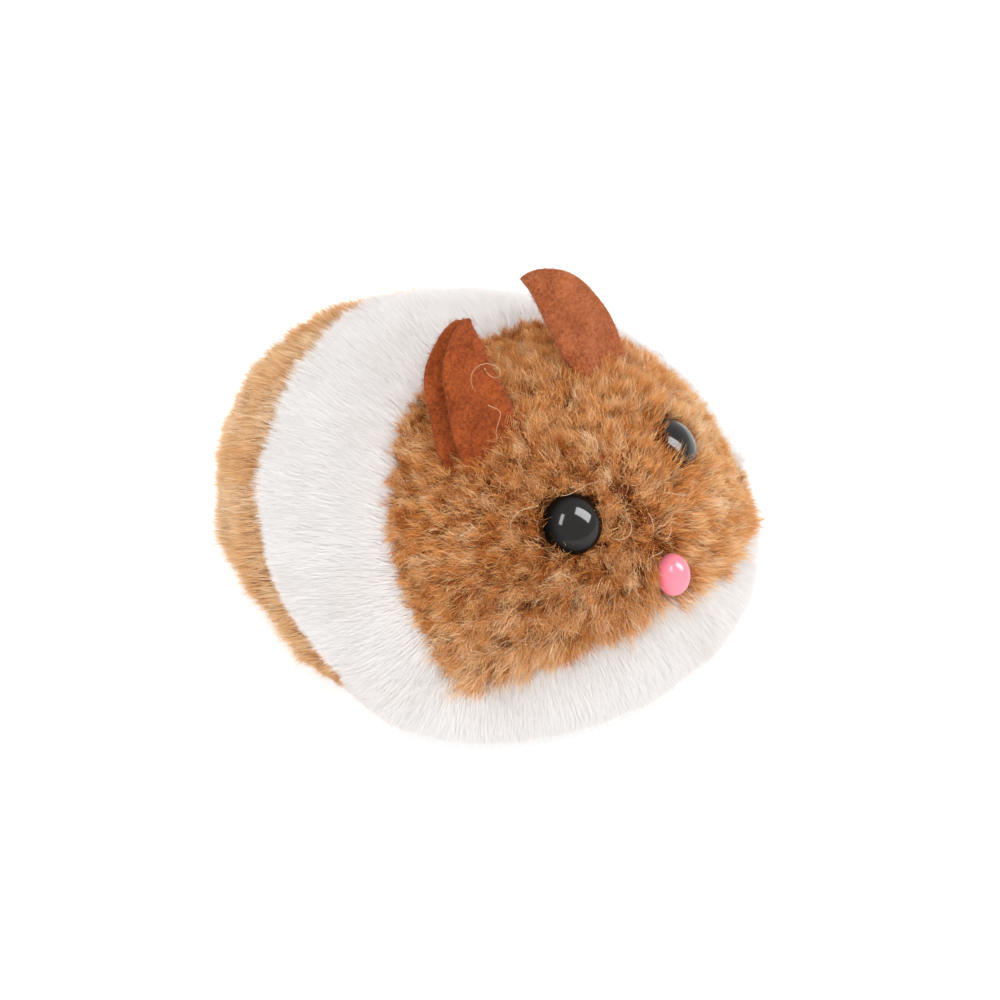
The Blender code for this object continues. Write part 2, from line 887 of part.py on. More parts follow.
# Clockwork frame

def pillar_places():
    low = plate_low + pillar_inset_low
    yield Vector((-plate_front + pillar_inset_front, low))
    yield Vector((plate_back - pillar_inset_edge, plate_low + pillar_back_height))
    yield Vector((plate_top_back - pillar_inset_front / 2, plate_top - pillar_inset_front))
    yield Vector((-plate_front + pillar_inset_back, plate_front_shoulder - pillar_inset_high))


def bore_loops():
    yield circle(winding_place, winding_arbor_radius + seat_gap, small_segments)
    yield circle(axle_place, drive_axle_radius + seat_gap, small_segments)
    yield circle(second_place, arbor_radius + seat_gap, pin_segments)
    yield circle(escape_place, arbor_radius + seat_gap, pin_segments)
    yield circle(pallet_place, pallet_pin_radius + seat_gap, pin_segments)


def plate_feet(shape, inner, inward):
    ends = sorted((inner - inward * plate_thickness / 2, inner + inward * foot_width))
    for low, high in (
        (-plate_front, -plate_front + foot_length),
        (plate_back - foot_length, plate_back),
    ):
        corners = [(ends[0], low), (ends[1], low), (ends[1], high), (ends[0], high)]
        prism(shape, [corners], plate_low, plate_low + plate_thickness, "Z")


for plate_name, inner, inward in (
    ("motor_plate_right", right_face, 1),
    ("motor_plate_left", left_face, -1),
):
    ends = sorted((inner, inner - inward * plate_thickness))
    plate = object_from(
        plate_name,
        lambda s: prism(s, [plate_outline(0), *bore_loops()], ends[0], ends[1], "X"),
        steel,
    )
    feet = cutter_from(plate_name + "_feet", lambda s: plate_feet(s, inner, inward))
    join(plate, feet)
    cut(plate, tray_screw_seats)


def pillar(shape, place):
    low = right_face + seat_gap
    high = left_face - seat_gap
    rod(shape, low, high, pillar_radius, along_x(*place), pin_segments)


for number, place in enumerate(pillar_places(), 1):
    object_from(f"frame_pillar_{number}", lambda s: pillar(s, place), steel, (0, *place))


# Toothed wheels. Flanks are radial below the pitch circle and epicycloids above it.

def tooth_lean(pitch_radius, rolling_radius, height):
    # The angle by which the flank has drawn in at this height above the pitch circle.
    reach = pitch_radius + rolling_radius
    share = reach**2 + rolling_radius**2 - (pitch_radius + height) ** 2
    roll = math.acos(max(-1, min(1, share / (2 * rolling_radius * reach))))
    travel = roll * rolling_radius / pitch_radius
    x = reach * math.cos(travel) - rolling_radius * math.cos(travel + roll)
    y = reach * math.sin(travel) - rolling_radius * math.sin(travel + roll)
    return math.atan2(y, x)


def toothed_outline(centre, teeth, mate_teeth, addendum_share, phase):
    # Phase is the direction of the first tooth's middle.
    pitch_radius = module * teeth / 2
    rolling_radius = module * mate_teeth / 4
    half_tooth = math.pi / (2 * teeth) - tooth_backlash / (4 * pitch_radius)
    root = pitch_radius - module * dedendum_share
    tip = module * addendum_share
    flank = [(root, half_tooth), (pitch_radius, half_tooth)]
    for share in (0.5, 1):
        lean = tooth_lean(pitch_radius, rolling_radius, tip * share)
        flank.append((pitch_radius + tip * share, half_tooth - lean))
    sides = [(radius, -angle) for radius, angle in flank] + list(reversed(flank))
    points = []
    for tooth in range(teeth):
        middle = phase + 2 * math.pi * tooth / teeth
        for radius, angle in sides:
            way = Vector((math.cos(middle + angle), math.sin(middle + angle)))
            points.append(tuple(centre + way * radius))
    return points


def direction(start, end):
    return math.atan2(end.y - start.y, end.x - start.x)


def toothed_wheel(name, look, centre, outline, bore, low, high):
    object_from(
        name,
        lambda s: prism(s, [outline, circle(centre, bore, small_segments)], low, high, "X"),
        look,
        (0, centre.x, centre.y),
    )


# The great wheel has a tooth facing the second pinion, and the pinion has a gap facing it.
to_second = direction(winding_place, second_place)
to_axle = direction(second_place, axle_place)
to_escape = direction(second_place, escape_place)
# The second wheel has a tooth on the line to the axle. This is how far its teeth have
# passed the line to the escape pinion, which is turned to suit.
passed = (to_axle - to_escape) % (2 * math.pi / second_teeth)
great_outline = toothed_outline(
    winding_place, great_teeth, second_pinion_teeth, wheel_addendum_share, to_second
)
second_pinion_outline = toothed_outline(
    second_place,
    second_pinion_teeth,
    great_teeth,
    pinion_addendum_share,
    to_second + math.pi + math.pi / second_pinion_teeth,
)
second_outline = toothed_outline(
    second_place, second_teeth, axle_pinion_teeth, wheel_addendum_share, to_axle
)
axle_pinion_outline = toothed_outline(
    axle_place,
    axle_pinion_teeth,
    second_teeth,
    pinion_addendum_share,
    to_axle + math.pi + math.pi / axle_pinion_teeth,
)
escape_pinion_outline = toothed_outline(
    escape_place,
    escape_pinion_teeth,
    second_teeth,
    pinion_addendum_share,
    to_escape + math.pi + math.pi / escape_pinion_teeth - passed * second_teeth / escape_pinion_teeth,
)

arbor_bore = arbor_radius + seat_gap
winding_bore = winding_arbor_radius + seat_gap
drive_bore = drive_axle_radius + seat_gap
great_ends = (great_low, great_high)
second_ends = (second_low, second_high)
great_mate_ends = (great_low - pinion_overlap, great_high + pinion_overlap)
second_mate_ends = (second_low - pinion_overlap, second_high + pinion_overlap)
toothed_wheel("great_wheel", brass, winding_place, great_outline, winding_bore, *great_ends)
toothed_wheel(
    "second_pinion", gear_plastic, second_place, second_pinion_outline, arbor_bore, *great_mate_ends
)
toothed_wheel("second_wheel", brass, second_place, second_outline, arbor_bore, *second_ends)
toothed_wheel(
    "axle_pinion", gear_plastic, axle_place, axle_pinion_outline, drive_bore, *second_mate_ends
)
toothed_wheel(
    "escape_pinion", gear_plastic, escape_place, escape_pinion_outline, arbor_bore, *second_mate_ends
)


def saw_outline(centre, teeth, radius, depth, hook_share):
    # Saw teeth: a long back up from the root, a short land, then a steep face.
    points = []
    for tooth in range(teeth):
        start = 2 * math.pi * tooth / teeth
        top_share = 1 - hook_share
        corners = ((radius - depth, 0), (radius, top_share - saw_land_share), (radius, top_share))
        for reach, share in corners:
            angle = start + share * 2 * math.pi / teeth
            points.append((centre.x + reach * math.cos(angle), centre.y + reach * math.sin(angle)))
    return points


ratchet_outline = saw_outline(
    winding_place, ratchet_teeth, ratchet_radius, ratchet_depth, ratchet_hook_share
)
toothed_wheel(
    "ratchet_wheel", steel, winding_place, ratchet_outline, winding_bore, ratchet_low, ratchet_high
)
escape_outline = saw_outline(
    escape_place, escape_teeth, escape_radius, escape_depth, escape_hook_share
)
toothed_wheel(
    "escape_wheel", brass, escape_place, escape_outline, arbor_bore, escape_low, escape_high
)


# Arbors and axles

def shaft(name, place, radius, low, high, segments=pin_segments):
    object_from(
        name,
        lambda s: rod(s, low, high, radius, along_x(*place), segments),
        steel,
        (0, place.x, place.y),
    )


plates_low = right_face - plate_thickness
plates_high = left_face + plate_thickness
shaft("second_arbor", second_place, arbor_radius, plates_low - seat_gap, plates_high + seat_gap)
shaft("escape_arbor", escape_place, arbor_radius, plates_low - seat_gap, plates_high + seat_gap)
shaft("pallet_pin", pallet_place, pallet_pin_radius, plates_low - seat_gap, plates_high + seat_gap)
key_shank_start = plates_high + running_gap
arbor_end = key_shank_start + key_bore_depth - seat_gap
shaft("winding_arbor", winding_place, winding_arbor_radius, plates_low - seat_gap, arbor_end)
drive_axle_half = drive_wheel_offset + drive_wheel_width / 2 + axle_end_overhang
shaft("drive_axle", axle_place, drive_axle_radius, -drive_axle_half, drive_axle_half)
front_axle_half = front_wheel_offset + front_wheel_width / 2 + axle_end_overhang
shaft("front_axle", front_place, front_axle_radius, -front_axle_half, front_axle_half)


# Mainspring, a flat strip wound round the arbor and hooked on the low front pillar

def strip(shape, points, low, high, thickness):
    rings = []
    for index, point in enumerate(points):
        before = points[max(index - 1, 0)]
        after = points[min(index + 1, len(points) - 1)]
        way = (after - before).normalized()
        side = Vector((-way.y, way.x)) * thickness / 2
        a, b = point + side, point - side
        corners = ((low, *a), (high, *a), (high, *b), (low, *b))
        rings.append([shape.verts.new(corner) for corner in corners])
    for first, second in zip(rings, rings[1:]):
        for index in range(4):
            after = (index + 1) % 4
            shape.faces.new((first[index], first[after], second[after], second[index]))
    shape.faces.new(list(reversed(rings[0])))
    shape.faces.new(rings[-1])


def mainspring_points():
    anchor = next(pillar_places())
    arrival = direction(winding_place, anchor)
    hook_radius = pillar_radius + seat_gap + spring_strip / 2
    inner = winding_arbor_radius + seat_gap + spring_strip / 2
    outer = spring_outer_radius - spring_strip / 2
    far = (anchor - winding_place).length - hook_radius
    total = 2 * math.pi * spring_turns
    steps = spring_turns * 20
    points = []
    for step in range(steps + 1):
        travel = total * step / steps
        radius = inner + (outer - inner) * travel / total
        rest = total - travel
        if rest < spring_tail_angle:
            share = 1 - rest / spring_tail_angle
            radius += (far - outer) * share * share * (3 - 2 * share)
        angle = arrival - rest
        points.append(winding_place + Vector((math.cos(angle), math.sin(angle))) * radius)
    hook_steps = 8
    for step in range(1, hook_steps + 1):
        angle = arrival + math.pi - spring_hook_angle * step / hook_steps
        points.append(anchor + Vector((math.cos(angle), math.sin(angle))) * hook_radius)
    return points


object_from(
    "mainspring",
    lambda s: strip(s, mainspring_points(), spring_low, spring_high, spring_strip),
    spring_steel,
)


# Click: a leaf riveted to the great wheel's face, its end over the ratchet's teeth

def click_rivet(shape):
    rivet = winding_place + Vector((0, click_rivet_offset))
    top = great_low - seat_gap
    rod(shape, ratchet_low, top, click_rivet_radius, along_x(*rivet), pin_segments)


def click_leaf(shape):
    clear = ratchet_radius + seat_gap + click_strip / 2
    points = []
    steps = 8
    for step in range(steps + 1):
        angle = math.pi / 2 + click_step_angle * step
        drop = (click_rivet_offset - clear) * math.sin(math.pi / 2 * step / steps)
        way = Vector((math.cos(angle), math.sin(angle)))
        points.append(winding_place + way * (click_rivet_offset - drop))
    strip(shape, points, ratchet_low + seat_gap, ratchet_high - seat_gap, click_strip)


click_spring = object_from("click_spring", click_rivet, spring_steel, (0, *winding_place))
join(click_spring, cutter_from("click_leaf", click_leaf))


# Pallet lever: a yoke whose two pads stand just clear of the escape wheel's tips

def pallet_outline():
    pad_radius = escape_radius + pallet_clearance
    steps = 8
    inside = []
    outside = []
    for step in range(steps + 1):
        angle = pallet_turn - pallet_spread + 2 * pallet_spread * step / steps
        way = Vector((math.cos(angle), math.sin(angle)))
        padded = 0 if step in (0, 1, steps - 1, steps) else pallet_pad
        inside.append(tuple(escape_place + way * (pad_radius + padded)))
        outside.append(tuple(escape_place + way * (pad_radius + pallet_pad + pallet_arm)))
    return inside + list(reversed(outside))


def pallet_yoke(shape):
    prism(shape, [pallet_outline()], escape_low, escape_high, "X")


def pallet_hub(shape):
    low = escape_low - pinion_overlap
    high = escape_high + pinion_overlap
    rod(shape, low, high, pallet_hub_radius, along_x(*pallet_place), small_segments)


def pallet_stem(shape):
    # Joins the hub to the yoke's middle.
    across = Vector((-pallet_way.y, pallet_way.x)) * pallet_arm / 2
    near = escape_place + pallet_way * (escape_radius + pallet_clearance + pallet_pad + pallet_arm / 2)
    far = pallet_place - pallet_way * pallet_hub_radius / 2
    corners = [near + across, far + across, far - across, near - across]
    inset = escape_thickness / 10
    prism(shape, [[tuple(point) for point in corners]], escape_low + inset, escape_high - inset, "X")


def pallet_bore(shape):
    low = escape_low - cut_overrun
    high = escape_high + cut_overrun
    bore = pallet_pin_radius + seat_gap
    rod(shape, low, high, bore, along_x(*pallet_place), pin_segments)


pallet_lever = object_from("pallet_lever", pallet_yoke, gear_plastic, (0, *pallet_place))
join(pallet_lever, cutter_from("pallet_hub", pallet_hub), cutter_from("pallet_stem", pallet_stem))
cut(pallet_lever, cutter_from("pallet_bore", pallet_bore))


# Wheels

def drive_hub(shape, offset):
    half = drive_wheel_width / 2
    rim = drive_wheel_radius - tyre_wall - seat_gap
    profile = [(-half, drive_bore), (-half, hub_boss_radius), (-hub_web / 2, hub_boss_radius)]
    profile += [(-hub_web / 2, rim - hub_rim_wall), (-half, rim - hub_rim_wall), (-half, rim)]
    profile += [(half, rim), (half, rim - hub_rim_wall), (hub_web / 2, rim - hub_rim_wall)]
    profile += [(hub_web / 2, hub_boss_radius), (half, hub_boss_radius), (half, drive_bore)]
    turned(shape, profile, along_x(*axle_place, offset), fine_segments, closed=True)


def tyre(shape, offset):
    half = drive_wheel_width / 2
    inner = drive_wheel_radius - tyre_wall
    shoulder = drive_wheel_radius - tyre_shoulder
    profile = [(-half, inner), (-half, shoulder), (-half + tyre_shoulder, drive_wheel_radius)]
    profile += [(half - tyre_shoulder, drive_wheel_radius), (half, shoulder), (half, inner)]
    turned(shape, profile, along_x(*axle_place, offset), tyre_segments, closed=True)


def front_wheel(shape, offset):
    half = front_wheel_width / 2
    bore = front_axle_radius + seat_gap
    shoulder = front_wheel_radius - tyre_shoulder
    profile = [(-half, bore), (-half, shoulder), (-half + tyre_shoulder, front_wheel_radius)]
    profile += [(half - tyre_shoulder, front_wheel_radius), (half, shoulder), (half, bore)]
    turned(shape, profile, along_x(*front_place, offset), tyre_segments, closed=True)


for side_name, side in (("left", 1), ("right", -1)):
    at = drive_wheel_offset * side
    object_from(side_name + "_hub", lambda s: drive_hub(s, at), gear_plastic, (at, *axle_place))
    object_from(side_name + "_tyre", lambda s: tyre(s, at), tyre_rubber, (at, *axle_place))
    at = front_wheel_offset * side
    wheel_name = side_name + "_front_wheel"
    object_from(wheel_name, lambda s: front_wheel(s, at), gear_plastic, (at, *front_place))


# Winding key: a shank over the arbor's end and a flat two-lobed wing

def key_shank(shape):
    bore_end = key_shank_start + key_bore_depth
    profile = [(bore_end, 0), (bore_end, winding_bore), (key_shank_start, winding_bore)]
    profile += [(key_shank_start, key_shank_radius), (key_shank_end, key_shank_radius)]
    profile += [(key_shank_end + key_wing_reach / 2, key_tang_radius)]
    profile += [(key_shank_end + key_wing_reach / 2, 0)]
    turned(shape, profile, along_x(*winding_place), small_segments)


def key_lobe_centres():
    lobe = key_wing_reach / 2
    for side in (1, -1):
        yield side, (key_shank_end + lobe, winding_place.x + side * (key_wing_half_span - lobe))


def key_wing(shape):
    lobe = key_wing_reach / 2
    steps = 12
    outline = []
    holes = []
    for side, centre in key_lobe_centres():
        start = math.pi / 2 * (1 - side) - key_wing_waist_turn
        for step in range(steps + 1):
            angle = start + (math.pi + 2 * key_wing_waist_turn) * step / steps
            outline.append((centre[0] + lobe * math.cos(angle), centre[1] + lobe * math.sin(angle)))
        holes.append(circle(centre, key_wing_hole_radius, small_segments))
    low = winding_place.y - key_wing_thickness / 2
    prism(shape, [outline, *holes], low, low + key_wing_thickness, "Z")


winding_key = object_from("winding_key", key_shank, steel, (0, *winding_place))
join(winding_key, cutter_from("key_wing", key_wing))


# Filling between the plush and the hood

def hood_clearance(shape):
    grow = hood_gap + hood_wall + seat_gap
    hood_block(shape, grow, hood_half_width + seat_gap, -cut_overrun)


def tray_clearance(shape):
    prism(shape, [tray_outline(seat_gap)], -cut_overrun, tray_rim_height + seat_gap, "Z")


def filling_dome(shape):
    rises = [inner_rises[0] + math.radians(1), *inner_rises[1:]]
    dome(shape, plush_wall + seat_gap, rises, body_segments, plush_point)


stuffing = object_from("stuffing", filling_dome, filling)
hood_space = cutter_from("hood_space", hood_clearance)
tray_space = cutter_from("tray_space", tray_clearance)
well_space = cutter_from("well_space", lambda s: well_solids(s, well_wall + seat_gap, -cut_overrun))
cut(stuffing, tray_space, hood_space, well_space, key_hole, tray_axle_bores)
cut(stuffing, washer_pockets, *ear_slots)
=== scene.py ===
import json
import math

import bmesh
import bpy
import numpy as np
from mathutils import Matrix, Vector
from mathutils.kdtree import KDTree


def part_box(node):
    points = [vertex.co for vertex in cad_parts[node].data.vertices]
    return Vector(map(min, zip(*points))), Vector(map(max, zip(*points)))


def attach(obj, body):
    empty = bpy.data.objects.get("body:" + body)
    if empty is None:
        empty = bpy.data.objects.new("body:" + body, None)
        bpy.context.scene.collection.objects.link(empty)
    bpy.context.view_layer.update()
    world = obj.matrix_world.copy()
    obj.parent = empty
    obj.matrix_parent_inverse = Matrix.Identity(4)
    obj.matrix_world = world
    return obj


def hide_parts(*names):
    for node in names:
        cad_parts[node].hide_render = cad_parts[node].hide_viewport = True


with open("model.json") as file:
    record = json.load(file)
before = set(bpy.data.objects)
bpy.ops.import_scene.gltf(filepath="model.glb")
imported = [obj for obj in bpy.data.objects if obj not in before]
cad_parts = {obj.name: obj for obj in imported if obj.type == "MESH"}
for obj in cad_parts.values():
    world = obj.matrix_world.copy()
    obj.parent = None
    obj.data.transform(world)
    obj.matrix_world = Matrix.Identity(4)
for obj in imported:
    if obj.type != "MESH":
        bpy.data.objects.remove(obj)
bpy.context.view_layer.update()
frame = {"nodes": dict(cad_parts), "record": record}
nodes = frame["nodes"]
scene = bpy.context.scene
scene.view_settings.view_transform = "Standard"


# Small shared tools

def linear(code):
    # a colour as a picker shows it, in Blender's own light values
    parts = [int(code[at:at + 2], 16) / 255 for at in (0, 2, 4)]
    return [p / 12.92 if p < 0.04045 else ((p + 0.055) / 1.055) ** 2.4 for p in parts] + [1.0]


def addPiece(name, mesh, material, node=None, body="body"):
    piece = bpy.data.objects.new(name, mesh)
    scene.collection.objects.link(piece)
    mesh.materials.append(material)
    mesh.polygons.foreach_set("use_smooth", np.ones(len(mesh.polygons), bool))
    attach(piece, body)
    if node:
        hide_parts(node)
    return piece


def meshOf(name, points, faces):
    # a triangle or quad mesh straight from arrays
    mesh = bpy.data.meshes.new(name)
    corners = faces.shape[1]
    mesh.vertices.add(len(points))
    mesh.vertices.foreach_set("co", np.ascontiguousarray(points, np.float32).ravel())
    mesh.loops.add(faces.size)
    mesh.loops.foreach_set("vertex_index", np.ascontiguousarray(faces, np.int32).ravel())
    mesh.polygons.add(len(faces))
    mesh.polygons.foreach_set("loop_start", np.arange(0, faces.size, corners, dtype=np.int32))
    mesh.update(calc_edges=True)
    return mesh


def storeValues(mesh, name, values):
    mesh.attributes.new(name, "FLOAT", "POINT").data.foreach_set("value", values.astype(np.float32))


def gridFaces(rows, columns, closed):
    across = columns if closed else columns - 1
    row, column = np.meshgrid(np.arange(rows - 1), np.arange(across), indexing="ij")
    here, after = row * columns + column, row * columns + (column + 1) % columns
    return np.stack([here, after, after + columns, here + columns], -1).reshape(-1, 4)


def fullTurn(steps):
    return np.linspace(0, 2 * math.pi, steps, endpoint=False)


def unit(vectors):
    return vectors / np.maximum(np.linalg.norm(vectors, axis=-1, keepdims=True), 1e-12)


def waves(points, size, seed, outputs=1):
    # smooth noise of about "size" metres, from -1 to 1
    draw = np.random.default_rng(seed)
    found = np.zeros((len(points), outputs))
    for column in range(outputs):
        for _ in range(6):
            way = unit(draw.normal(size=3)) * draw.uniform(0.7, 1.6) * 2 * math.pi / size
            found[:, column] += np.sin(points @ way + draw.uniform(0, 2 * math.pi))
    return found / 2.6


def bell(distance, reach):
    # 1 at no distance, falling off on both sides
    return np.exp(-(distance / reach) ** 2)


def held(values):
    return np.clip(values, 0, 1)


def nearness(points, place, reach):
    # 1 at a place, falling to nothing over its reach
    return np.exp(-np.sum(((points - np.array(place)) / np.array(reach)) ** 2, axis=-1))


def setInputs(node, values):
    for socket, value in values.items():
        node.inputs[socket].default_value = value


def addNode(tree, kind, inputs=None, **values):
    node = tree.nodes.new("ShaderNode" + kind)
    for name, value in values.items():
        setattr(node, name, value)
    setInputs(node, inputs or {})
    return node


def join(tree, *links):
    # each link is a node and its output, then a node and its input
    for source, output, target, socket in links:
        tree.links.new(source.outputs[output], target.inputs[socket])


def newMaterial(name, baseColour, roughness, metallic=0.0):
    material = bpy.data.materials.new(name)
    material.use_nodes = True
    shader = material.node_tree.nodes["Principled BSDF"]
    setInputs(shader, {"Base Color": linear(baseColour), "Roughness": roughness, "Metallic": metallic})
    return material, material.node_tree, shader


def addRamp(tree, stops, source):
    ramp = addNode(tree, "ValToRGB")
    while len(ramp.color_ramp.elements) < len(stops):
        ramp.color_ramp.elements.new(0.5)
    for element, (place, colour) in zip(ramp.color_ramp.elements, stops):
        element.position = place
        element.color = linear(colour)
    join(tree, (source, "Fac", ramp, "Fac"))
    return ramp


# Camera and studio

cameraSettings = {
    "turn": -46.85, "rise": 41.0, "distance": 0.4413, "aim": (0, -0.01084, 0.0263),
    "lens": 112.5, "sensor": 36, "shift": (-0.02645, -0.0613),
}


def setCamera():
    s = cameraSettings
    turn, rise = math.radians(s["turn"]), math.radians(s["rise"])
    back = Vector((math.sin(turn) * math.cos(rise), -math.cos(turn) * math.cos(rise), math.sin(rise)))
    right = Vector((math.cos(turn), math.sin(turn), 0))
    data = bpy.data.cameras.new("photoCamera")
    data.lens, data.sensor_width = s["lens"], s["sensor"]
    data.shift_x, data.shift_y = s["shift"]
    camera = bpy.data.objects.new("photoCamera", data)
    scene.collection.objects.link(camera)
    pose = Matrix((right, back.cross(right), back)).transposed().to_4x4()
    camera.matrix_world = Matrix.Translation(Vector(s["aim"]) + back * s["distance"]) @ pose
    scene.camera = camera
    return back, right, back.cross(right)


toCamera, cameraRight, cameraUp = setCamera()
bodyMiddle = Vector((0, 0, 0.02))

# softness comes from size: each lamp is a square or strip of "size" metres at "distance"
lampSettings = {
    "overhead": {"way": (0.1, 0.25, 1.0), "distance": 0.9, "size": (0.9, 0.9), "power": 0.6},
    "rightSide": {"way": (0.95, -0.35, 0.5), "distance": 0.8, "size": (0.5, 0.5), "power": 1.1},
    "besideCamera": {"way": (-0.75, -0.6, 0.5), "distance": 0.9, "size": (0.7, 0.7), "power": 1.9},
    "lowFront": {"way": (-0.5, -0.85, 0.12), "distance": 0.8, "size": (0.8, 0.3), "power": 1.15},
}
# these two only make the highlights on the eyes and nose
sparkleSettings = {
    "window": {"across": 1.4, "up": 0.92, "distance": 0.5, "size": (0.2, 0.36), "power": 3.6},
    "strip": {"across": -0.2, "up": 0.34, "distance": 0.5, "size": (0.09, 0.26), "power": 1.0},
}


def aimLamp(name, way, distance, size, power):
    data = bpy.data.lights.new(name, "AREA")
    data.shape, data.size, data.size_y = "RECTANGLE", size[0], size[1]
    data.energy = power
    lamp = bpy.data.objects.new(name, data)
    scene.collection.objects.link(lamp)
    way = Vector(way).normalized()
    lamp.location = bodyMiddle + way * distance
    lamp.rotation_euler = way.to_track_quat("Z", "Y").to_euler()
    return lamp


studioSettings = {"floorHalf": 3.0, "floorHeight": -0.0024, "floorGrey": 0.8, "floorGlow": 0.55}


def buildFloor():
    s = studioSettings
    half, low = s["floorHalf"], s["floorHeight"]
    corners = [(-half, -half, low), (half, -half, low), (half, half, low), (-half, half, low)]
    mesh = bpy.data.meshes.new("floor")
    mesh.from_pydata(corners, [], [(0, 1, 2, 3)])
    floor = bpy.data.objects.new("floor", mesh)
    scene.collection.objects.link(floor)
    # white where the camera or a reflection sees it, pale grey for the light it throws back
    material, tree, shader = newMaterial("paleFloor", "ffffff", 0.9)
    path = addNode(tree, "LightPath")
    seen = addNode(tree, "Math", operation="MAXIMUM")
    glow = addNode(tree, "Math", {1: s["floorGlow"]}, operation="MULTIPLY")
    join(
        tree, (path, "Is Camera Ray", seen, 0), (path, "Is Glossy Ray", seen, 1),
        (seen, 0, glow, 0), (glow, 0, shader, "Emission Strength"),
    )
    grey = s["floorGrey"]
    setInputs(shader, {
        "Base Color": (grey, grey, grey, 1), "Emission Color": (1, 1, 1, 1), "Specular IOR Level": 0,
    })
    mesh.materials.append(material)


def buildStudio():
    for name, s in lampSettings.items():
        aimLamp(name, s["way"], s["distance"], s["size"], s["power"]).visible_glossy = False
    for name, s in sparkleSettings.items():
        way = toCamera + cameraRight * s["across"] + cameraUp * s["up"]
        lamp = aimLamp(name, way, s["distance"], s["size"], s["power"])
        lamp.visible_diffuse = False
        lamp.visible_camera = False
    world = bpy.data.worlds.new("paleRoom")
    scene.world = world
    world.use_nodes = True
    setInputs(world.node_tree.nodes["Background"], {"Color": (1, 1, 1, 1), "Strength": 1})
    buildFloor()


buildStudio()
print("studio ready")


# Shader groups

def grainGroup():
    # mottled colour and a matching height, for cloth, felt, plastic and metal alike
    tree = bpy.data.node_groups.new("surfaceGrain", "ShaderNodeTree")
    taken = {
        "Colour": "Color", "Deep Colour": "Color", "Scale": "Float", "Stretch": "Vector", "Contrast": "Float",
    }
    made = {"Colour": "Color", "Height": "Float", "Mask": "Float"}
    for way, sockets in (("INPUT", taken), ("OUTPUT", made)):
        for name, kind in sockets.items():
            tree.interface.new_socket(name=name, in_out=way, socket_type="NodeSocket" + kind)
    given, result = tree.nodes.new("NodeGroupInput"), tree.nodes.new("NodeGroupOutput")
    place = addNode(tree, "TexCoord")
    stretched = addNode(tree, "VectorMath", operation="MULTIPLY")
    fine = addNode(tree, "TexNoise", {"Detail": 5})
    broad = addNode(tree, "TexNoise", {"Detail": 2})
    broadScale = addNode(tree, "Math", {1: 0.16}, operation="MULTIPLY")
    both = addNode(tree, "Mix", {"Factor": 0.4}, data_type="FLOAT")
    centred = addNode(tree, "MapRange", {"From Min": 0.36, "From Max": 0.64})
    amount = addNode(tree, "Math", operation="MULTIPLY")
    mix = addNode(tree, "Mix", data_type="RGBA")
    join(
        tree, (place, "Object", stretched, 0), (given, "Stretch", stretched, 1),
        (stretched, 0, fine, "Vector"), (stretched, 0, broad, "Vector"), (given, "Scale", fine, "Scale"),
        (given, "Scale", broadScale, 0), (broadScale, 0, broad, "Scale"),
        (fine, "Fac", both, "A"), (broad, "Fac", both, "B"), (both, "Result", centred, "Value"),
        (centred, "Result", amount, 0), (given, "Contrast", amount, 1), (amount, 0, mix, "Factor"),
        (given, "Colour", mix, "A"), (given, "Deep Colour", mix, "B"), (mix, "Result", result, "Colour"),
        (fine, "Fac", result, "Height"), (centred, "Result", result, "Mask"),
    )
    return tree


surfaceGrain = grainGroup()
plainLook = {
    "metallic": 0.0, "stretch": (1, 1, 1), "contrast": 0.6, "roughSpread": 0.1, "bump": 0.1,
    "bumpDepth": 0.0001, "sockets": {},
}


def grainyMaterial(name, look):
    s = {**plainLook, **look}
    colour, deepColour = s["colours"]
    rough, spread = s["roughness"], s["roughSpread"]
    material, tree, shader = newMaterial(name, colour, rough, s["metallic"])
    grain = addNode(tree, "Group", node_tree=surfaceGrain)
    setInputs(grain, {"Colour": linear(colour), "Deep Colour": linear(deepColour), "Scale": s["scale"]})
    setInputs(grain, {"Stretch": s["stretch"], "Contrast": s["contrast"]})
    bump = addNode(tree, "Bump", {"Strength": s["bump"], "Distance": s["bumpDepth"]})
    dulled = addNode(tree, "MapRange", {"To Min": max(rough - spread, 0), "To Max": min(rough + spread, 1)})
    join(
        tree, (grain, "Colour", shader, "Base Color"), (grain, "Height", bump, "Height"),
        (bump, "Normal", shader, "Normal"), (grain, "Mask", dulled, "Value"),
        (dulled, "Result", shader, "Roughness"),
    )
    setInputs(shader, s["sockets"])
    return material


# Plush body: a dome cut along its seams, as in the CAD model

plush = {
    "halfWidth": 0.0362, "frontReach": 0.031, "rearReach": 0.0526, "crownForward": 0.0108,
    "crownHeight": 0.038, "crownLean": 0.002, "widestHeight": 0.0013, "hemDepth": 0.0017,
    "hemTurnShare": 0.88, "seamPinch": 0.0011, "pinchReach": 0.0038,
}


def domePoints(turn, rise, out):
    p = plush
    low = rise < 0
    reach = np.where(np.sin(turn) < 0, p["frontReach"], p["rearReach"]) + out
    tucked = p["hemTurnShare"] + (1 - p["hemTurnShare"]) * np.cos(rise)
    share = np.where(low, tucked, np.maximum(np.cos(rise), 0))
    tall = np.where(low, p["widestHeight"] + p["hemDepth"], p["crownHeight"] + out - p["widestHeight"])
    lean = np.where(low, 0, p["crownLean"] * np.sin(rise) ** 2)
    x = share * (p["halfWidth"] + out) * np.cos(turn)
    y = share * reach * np.sin(turn) + lean - p["crownForward"]
    return np.stack([x, y, p["widestHeight"] + tall * np.sin(rise)], -1)


# each seam is a plane that leans back, but for the chin's, which droops to the sides
seamSettings = {
    "faceStart": -0.0371, "faceSlope": 1.02, "rearStart": 0.0044, "rearSlope": 0.55,
    "chinHeight": 0.0153, "chinDroop": 0.0085,
}


